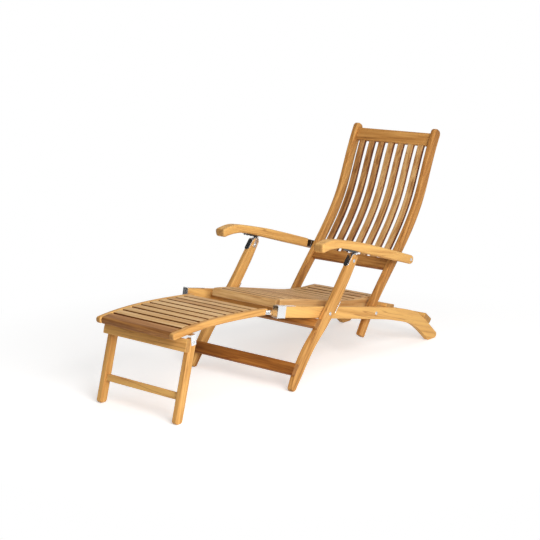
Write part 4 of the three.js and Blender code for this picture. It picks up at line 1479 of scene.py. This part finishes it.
@dataclass
class Arms:
    """The shaped arms, with their bolts, brackets and toothed racks."""

    back: Back
    legs: FrontLegs
    length: float = 684.0
    bolt_from_end: float = 22.0
    bolt_from_tail: float = 415.0
    bolt_into_stile: float = 5.0
    notch_from_bolt: float = 57.0
    notch_play: float = 2.5
    tongue: float = 27.0
    underside_above_pin: float = 9.5
    tooth_pitch: float = 24.0
    tooth_count: int = 4
    tooth_depth: float = 2.5
    rack_margin: float = 12.0
    rack_thick: float = 3.0
    rack_plate: float = 2.0
    rack_plate_width: float = 22.0
    yoke_plate: float = 2.5
    yoke_run: Row = (-51.0, 13.0)
    yoke_rise: Row = (-16.0, 16.0)
    outer_play: float = 0.6
    passes: int = 12
    sweep: Sweep = Sweep(
        43.0,
        (0, 0.06, 0.11, 0.16, 0.22, 0.3, 0.5, 1),
        (29, 25, 17, 9, 5, 2.5, 0.5, 0),
        (0, 0.12, 0.18, 0.28, 0.45, 0.7, 1),
        (0.86, 0.93, 0.815, 0.84, 0.98, 1, 0.93),
    )

    def __post_init__(self) -> None:
        """Hangs the arms on the stiles and lays them over the pins."""
        stile = self.back.board.edge_frame(self.bolt_from_tail, -1)
        self.bolt = stile.at(0.0, self.bolt_into_stile)
        self.board = self.resting()
        self.place = self.beside_pin(self.board)

    def beside_pin(self, board: Board) -> float:
        """The place along the arm's underside that lies square to the pin at the leg's top.

        Args:
            board: The arm's middle line.

        Returns:
            The place, found by moving along the underside's own slope.
        """
        place = self.length / 2
        for _ in range(self.passes):
            under = board.edge_frame(place, -1)
            place += float((self.legs.rack_pin - under.point) @ under.along)
        return place

    def resting(self) -> Board:
        """The arm turned on its bolt until its underside lies above the pin by the rack's depth.

        Returns:
            The arm's middle line.
        """
        turn = 0.0
        for _ in range(self.passes):
            board = Board(self.sweep, self.length, self.bolt, self.length - self.bolt_from_end,
                          turn)
            under = board.edge_frame(self.beside_pin(board), -1)
            above = float((under.point - self.legs.rack_pin) @ under.across)
            far = float(np.linalg.norm(self.legs.rack_pin - self.bolt))
            turn += math.degrees(math.atan2(above - self.underside_above_pin, far))
        return board

    def build(self) -> None:
        """Makes the arms and their steel."""
        strip = Strip.on_board(self.board, rounds=(14.0, 14.0, 18.0, 18.0), points=240)
        seen = self.board.along(np.array([self.length - self.bolt_from_end]))[0]
        reach = ((strip.lower + strip.upper) / 2 - self.bolt) @ seen
        step = np.clip(reach + self.notch_from_bolt + self.notch_play, 0, 1)
        inner = ARM_X.inner + step * (ARM_X.outer - self.tongue - ARM_X.inner)
        outer = Layer(ARM_X.inner, ARM_X.outer - self.outer_play)
        settle_pair("arm", pushed(strip, outer, 10.0, inner), Slot.FRAME, Body.ARMS,
                    side_grain(self.board, 0.7))
        self.rack()
        self.bracket()

    def rack(self) -> None:
        """Makes the toothed rack, whose teeth are one cosine wave along the arm's underside."""
        under = self.board.edge_frame(self.place, -1)
        above = float((under.point - self.legs.rack_pin) @ under.across)
        root = above - self.legs.pin_radius - FIT
        first = self.place - self.tooth_pitch * (self.tooth_count - 1) - self.rack_margin
        at = np.linspace(first, self.place + self.rack_margin, 97)
        wave = (1 - np.cos(2 * math.pi * (at - self.place) / self.tooth_pitch)) / 2
        top = self.board.edge(at, -1, 2 * FIT)
        teeth = self.board.edge(at, -1, root + self.tooth_depth * wave)
        plate = self.board.edge(at, -1, 2 * FIT + self.rack_plate)
        middle = (LEG_X.inner + LEG_X.outer) / 2
        shells = [pushed(Strip(line, top), Layer(middle - width / 2, middle + width / 2), 0.6)
                  for line, width in ((teeth, self.rack_thick), (plate, self.rack_plate_width))]
        settle_pair("arm_rack", Shell.together(shells), Slot.BRACKETS, Body.ARMS,
                    finish=RACK_STEEL_PAINTED_SHADE)

    def bracket(self) -> None:
        """Makes the steel yoke between each arm and stile, and the arm's bolt."""
        frame_here = SideFrame(self.bolt, self.board.along(
            np.array([self.length - self.bolt_from_end]))[0])
        near = STILE_X.outer + FIT
        far = ARM_X.outer - self.tongue - FIT
        plate = self.yoke_plate
        start = self.yoke_run[0]
        long = Strip.block(frame_here, self.yoke_run, self.yoke_rise, 4.0)
        short = Strip.block(frame_here, (start, start + plate), self.yoke_rise, 1.0)
        shells = [pushed(long, Layer(near, near + plate), 0.8),
                  pushed(long, Layer(far - plate, far), 0.8),
                  pushed(short, Layer(near + 0.4, far - 0.4), 0.8)]
        settle_pair("arm_bracket", Shell.together(shells), Slot.BRACKETS, Body.BACK,
                    finish=RACK_STEEL_PAINTED_SHADE)
        nut = far - plate - FIT
        rows = [(near + 0.2, 3.4), (near + 0.8, 4.0), (nut - 4.0, 4.0), (nut - 4.0, 6.6),
                (nut - 3.4, 7.0), (nut - 0.4, 7.0), (nut, 6.6), (nut, 4.0),
                (ARM_X.outer - 1.6, 4.0)] + dome(ARM_X.outer - 1.5, 8.0, 1.5)
        settle_pair("arm_pivot_bolt", turned(self.bolt, rows), Slot.BOLTS, Body.ARM_PIVOTS)


@dataclass
class RailBrackets:
    """The steel channel over each rail's front end, with the lug that carries the footrest.

    Its outer plate and lower flange are short, and its upper flange runs on along the rail.
    """

    rails: SideRails
    hinge_ahead: float = 9.5
    hinge_below: float = 8.0
    plate: float = 2.0
    length: float = 50.0
    top_length: float = 110.0

    def __post_init__(self) -> None:
        """Finds the rails' front ends and the footrest's hinge."""
        self.front = self.rails.board.frame_at(0.0)
        self.hinge = self.front.at(-self.hinge_ahead, -self.hinge_below)

    def build(self) -> None:
        """Makes the channel from its plates, and the hinge pin.

        The plates in turn: outer side, lower flange, front, its arm towards the lug, and the
        lug. The upper flange follows the rail's curved edge.
        """
        half = float(self.rails.board.depth(np.array([self.length]))[0]) / 2 + 2 * FIT
        skin = half + self.plate
        ahead = (-FIT - self.plate, -FIT)
        side = Layer(RAIL_X.outer + FIT, RAIL_X.outer + FIT + self.plate)
        lug_x = Layer(FOOTREST_X.outer + FIT, FOOTREST_X.outer + FIT + self.plate)
        flange = Layer(RAIL_X.inner + 6.0, side.outer)
        rise = (-self.hinge_below - 10.0, -self.hinge_below + 8.0)
        parts = (((ahead[0], self.length), (-skin, skin), side, 6.0),
                 ((ahead[0], self.length), (-skin, -half), flange, 0.9),
                 (ahead, (3.0 - skin, skin - 3.0), Layer(RAIL_X.inner, side.outer), 0.9),
                 (ahead, rise, Layer(lug_x.inner, RAIL_X.inner + 6.0), 0.9),
                 ((-self.hinge_ahead - 8.0, ahead[1]), rise, lug_x, 3.0))
        shells = [pushed(Strip.block(self.front, run, tall, radius), space, 0.7)
                  for run, tall, space, radius in parts]
        board = self.rails.board
        along, lift = board.along(np.zeros(1))[0], 2 * FIT
        at = np.linspace(0, self.top_length, 40)
        lines = [np.vstack([board.edge(np.zeros(1), 1, out) + along * ahead[0],
                            board.edge(at, 1, out)]) for out in (lift, lift + self.plate)]
        shells.append(pushed(Strip(*lines), flange, 0.7))
        settle_pair("rail_end_bracket", Shell.together(shells), Slot.BRACKETS, Body.BASE)
        rows = [(FOOTREST_X.inner + FIT, 2.4), (FOOTREST_X.inner + FIT + 0.6, 3.0),
                (lug_x.outer + FIT, 3.0)] + dome(lug_x.outer + FIT, 5.0, 1.8)
        settle_pair("footrest_hinge_pin", turned(self.hinge, rows), Slot.BOLTS, Body.FOOTREST)


@dataclass
class Footrest:
    """The footrest on its two curved rails, and its own folding legs."""

    brackets: RailBrackets
    length: float = 547.0
    hinge_from_end: float = 13.5
    front_width: float = 56.0
    front_back: float = 7.0
    lean: float = 74.6
    leg_depth: float = 37.0
    leg_above_pivot: float = 15.0
    leg_pivot_from_front: float = 95.0
    leg_pivot_below: float = 31.0
    apron_above_pivot: float = 9.0
    apron_height: float = 50.0
    apron_thick: float = 22.0
    stretcher_below: float = 226.0
    stretcher_width: float = 28.0
    stretcher_thick: float = 18.0
    plate: float = 2.0
    sweep: Sweep = Sweep(
        27.0,
        (0, 0.1, 0.25, 0.4, 0.55, 0.7, 0.85, 1),
        (9, 5.5, 2.5, 0, -1.8, -3.2, -4.3, -4.5),
    )

    def __post_init__(self) -> None:
        """Works out the footrest's middle line and the pivot and lean of its legs."""
        self.board = Board(self.sweep, self.length, self.brackets.hinge,
                           self.length - self.hinge_from_end)
        self.under = self.board.edge_frame(self.leg_pivot_from_front, -1)
        self.leg_pivot = self.under.at(0.0, -self.leg_pivot_below)
        self.leg_frame = SideFrame(self.leg_pivot, heading(self.lean))

    def build(self) -> None:
        """Makes the footrest and its legs."""
        strip = Strip.on_board(self.board, rounds=(11.8,) * 4, points=90)
        settle_pair("footrest_rail", pushed(strip, FOOTREST_X, 7.0), Slot.FRAME, Body.FOOTREST,
                    side_grain(self.board))
        inner = FOOTREST_X.inner - FIT
        front = Strip.on_board(self.board, self.front_back, self.front_back + self.front_width,
                               (4.0, 13.0, 3.0, 4.0), points=20)
        settle_cross("footrest_front_slat", front, inner, 1.5, Slot.SLATS, Body.FOOTREST, -0.6)
        panel = slat_panel(self.board, inner, self.front_back + self.front_width,
                           self.length - 5.5, "footrest_slat", 0.5)
        settle("footrest_slats", panel, Slot.SLATS, Body.FOOTREST)
        self.legs()
        self.plates()

    def legs(self) -> None:
        """Makes the legs, with the apron on their fronts and the stretcher between them."""
        reach = self.leg_pivot[1] / self.leg_frame.along[1] + self.leg_depth
        board = Board(Sweep(self.leg_depth, bend=(self.lean,)), reach + self.leg_above_pivot,
                      self.leg_pivot, reach)
        strip = Strip.on_board(board, rounds=(13.0, 13.0, 10.0, 10.0), floor=Foot(0), points=60)
        settle_pair("footrest_leg", pushed(strip, FOOTREST_LEG_X, 6.0), Slot.FRAME,
                    Body.FOOTREST_LEGS, side_grain(board, -0.3))
        face = self.leg_depth / 2 + FIT
        run = (self.apron_above_pivot - self.apron_height, self.apron_above_pivot)
        apron = Strip.block(self.leg_frame, run, (face, face + self.apron_thick), 3.5)
        settle_cross("footrest_apron", apron, FOOTREST_LEG_X.outer + 4.0, 3.0, Slot.FRAME,
                     Body.FOOTREST_LEGS, 0.4)
        run = (-self.stretcher_below, self.stretcher_width - self.stretcher_below)
        rise = (-self.stretcher_thick / 2, self.stretcher_thick / 2)
        bar = Strip.block(self.leg_frame, run, rise, 4.0)
        settle_cross("footrest_stretcher", bar, FOOTREST_LEG_X.inner - FIT, 1.0, Slot.FRAME,
                     Body.FOOTREST_LEGS, 0.1)

    def plates(self) -> None:
        """Makes the plates that hold the legs to the rails, and their rivets."""
        outside = Layer(FOOTREST_LEG_X.outer + FIT, FOOTREST_LEG_X.outer + FIT + self.plate)
        width = (-13.0, 13.0)
        flange = Strip.block(self.under, width, (-2 * FIT - self.plate, -2 * FIT), 0.9)
        wall = Strip.block(self.under, width, (-43.0, -2 * FIT), 4.0)
        shells = [pushed(flange, Layer(FOOTREST_X.outer - 20.0, outside.outer), 0.7),
                  pushed(wall, outside, 0.7)]
        settle_pair("footrest_leg_plate", Shell.together(shells), Slot.BRACKETS, Body.FOOTREST)
        inside = FOOTREST_LEG_X.inner - FIT
        rows = bolt_rows(inside, outside.outer + FIT, 3.0, 5.0, 1.8, 5.0, 1.8)
        settle_pair("footrest_leg_rivet", turned(self.leg_pivot, rows), Slot.BOLTS,
                    Body.FOOTREST_LEGS)


@dataclass(frozen=True)
class Lamp:
    """A square soft box: where it stands, what it faces, its size in metres and its watts."""

    name: str
    place: Row
    target: Row
    size: float
    power: float


@dataclass
class Studio:
    """The pale floor, the soft boxes, the white surround and the camera, placed in metres."""

    camera_place: Row = (3.5255, -4.22366, 1.61007)
    azimuth: float = 40.293
    elevation: float = 12.155
    focal_px: float = 1312.7
    picture_px: float = 540.0
    lamps: tuple[Lamp, ...] = (
        Lamp("key_box", (3.3, -1.9, 2.0), (0.0, -0.2, 0.3), 2.2, 135.0),
        Lamp("top_box", (0.4, 0.0, 3.6), (0.0, 0.0, 0.0), 3.0, 24.0),
    )
    sky: float = 0.36
    dim_sky: float = 0.16
    bright_side: Row = (0.72, 0.69, 0.0)
    white: str = "#ffffff"
    paper: str = "#f4f3f2"
    floor_half: float = 30.0
    floor_below: float = 0.0005
    floor_lift: float = 0.44
    white_from: float = 0.8
    white_at: float = 1.7

    def build(self) -> None:
        """Sets the whole stage."""
        self.floor()
        self.light()
        self.surround()
        self.camera()

    def floor(self) -> None:
        """Lays the floor, which is lit white beyond the chair's shadow, so that it has no end.

        Near the chair it is matt paper with a little light of its own, which only the camera and
        mirrors see. Between the two distances from the middle it turns to pure white.
        """
        corners = np.array([[-1, -1, 0], [1, -1, 0], [1, 1, 0], [-1, 1, 0]]) * self.floor_half
        corners[:, 2] = -self.floor_below
        mesh = bpy.data.meshes.new("floor")
        mesh.from_pydata(corners.tolist(), [], [[0, 1, 2, 3]])
        made = bpy.data.materials.new("white_paper_sweep")
        tree = empty_tree(made)
        length = add_node(tree, "VectorMath", {"operation": "LENGTH"}, {
            0: add_node(tree, "TexCoord", None, None, "Object")}, "Value")
        far = add_node(tree, "MapRange", {"interpolation_type": "SMOOTHSTEP"}, {
            "Value": length, "From Min": self.white_from, "From Max": self.white_at})
        ray = add_node(tree, "LightPath")[0]
        seen = add_node(tree, "Math", {"operation": "MAXIMUM"}, {
            0: (ray, "Is Camera Ray"), 1: (ray, "Is Glossy Ray")})
        share, lift = (add_node(tree, "Math", {"operation": "MULTIPLY"}, {0: seen, 1: value})
                       for value in (far, self.floor_lift))
        near = add_node(tree, "AddShader", None, {
            0: add_node(tree, "BsdfDiffuse", None, {"Color": linear(self.paper)}),
            1: add_node(tree, "Emission", None, {"Color": linear(self.white), "Strength": lift})})
        white = add_node(tree, "Emission", None, {"Color": linear(self.white), "Strength": 1.0})
        both = add_node(tree, "MixShader", None, {0: share, 1: near, 2: white})
        add_node(tree, "OutputMaterial", None, {"Surface": both})
        mesh.materials.append(made)
        in_scene("floor", mesh)

    def light(self) -> None:
        """Hangs the soft boxes."""
        for lamp in self.lamps:
            data = bpy.data.lights.new(lamp.name, "AREA")
            data.shape, data.size, data.energy = "SQUARE", lamp.size, lamp.power
            data.color = linear(self.white)[:3]
            box = in_scene(lamp.name, data)
            way = np.array(lamp.target) - np.array(lamp.place)
            box.location = lamp.place
            box.rotation_euler = (math.acos(-way[2] / np.linalg.norm(way)), 0.0,
                                  math.atan2(way[1], way[0]) - math.pi / 2)

    def surround(self) -> None:
        """Sets the white surround, brighter on one side, and darker behind for mirrors."""
        world = bpy.data.worlds.new("studio")
        tree = empty_tree(world)
        ray = add_node(tree, "LightPath")[0]
        towards = add_node(tree, "VectorMath", {"operation": "DOT_PRODUCT"}, {
            0: add_node(tree, "TexCoord"), 1: self.bright_side}, "Value")
        level, mirrored = (add_node(tree, "MapRange", {"interpolation_type": "SMOOTHSTEP"}, {
            "Value": towards, "From Min": -0.45, "From Max": last, "To Min": dim, "To Max": bright})
            for last, dim, bright in ((0.1, self.dim_sky, self.sky), (0.0, 0.03, 1.0)))
        glossy = add_node(tree, "Mix", None, {
            "Factor": (ray, "Is Glossy Ray"), "A": level, "B": mirrored})
        soft, white = (add_node(tree, "Background", None, {
            "Color": linear(self.white), "Strength": strength}) for strength in (glossy, 1.0))
        both = add_node(tree, "MixShader", None, {0: (ray, "Is Camera Ray"), 1: soft, 2: white})
        add_node(tree, "OutputWorld", None, {"Surface": both})
        bpy.context.scene.world = world

    def camera(self) -> None:
        """Stands the camera where the photograph was taken from."""
        data = bpy.data.cameras.new("camera")
        data.sensor_width = 36.0
        data.lens = data.sensor_width * self.focal_px / self.picture_px
        eye = in_scene("camera", data)
        eye.location = self.camera_place
        eye.rotation_euler = (math.radians(90 - self.elevation), 0.0, math.radians(self.azimuth))
        bpy.context.scene.camera = eye


def main() -> None:
    """Builds the chair and its studio."""
    logging.basicConfig(level=logging.INFO, format="%(message)s")
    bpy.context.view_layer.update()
    bpy.context.scene.view_settings.view_transform = "Standard"
    Studio().build()
    rails = SideRails()
    rails.build()
    brackets = RailBrackets(rails)
    brackets.build()
    Seat(rails).build()
    legs = FrontLegs(rails)
    legs.build()
    back = Back(rails)
    back.build()
    Arms(back, legs).build()
    Footrest(brackets).build()


if __name__ == "__main__":
    main()
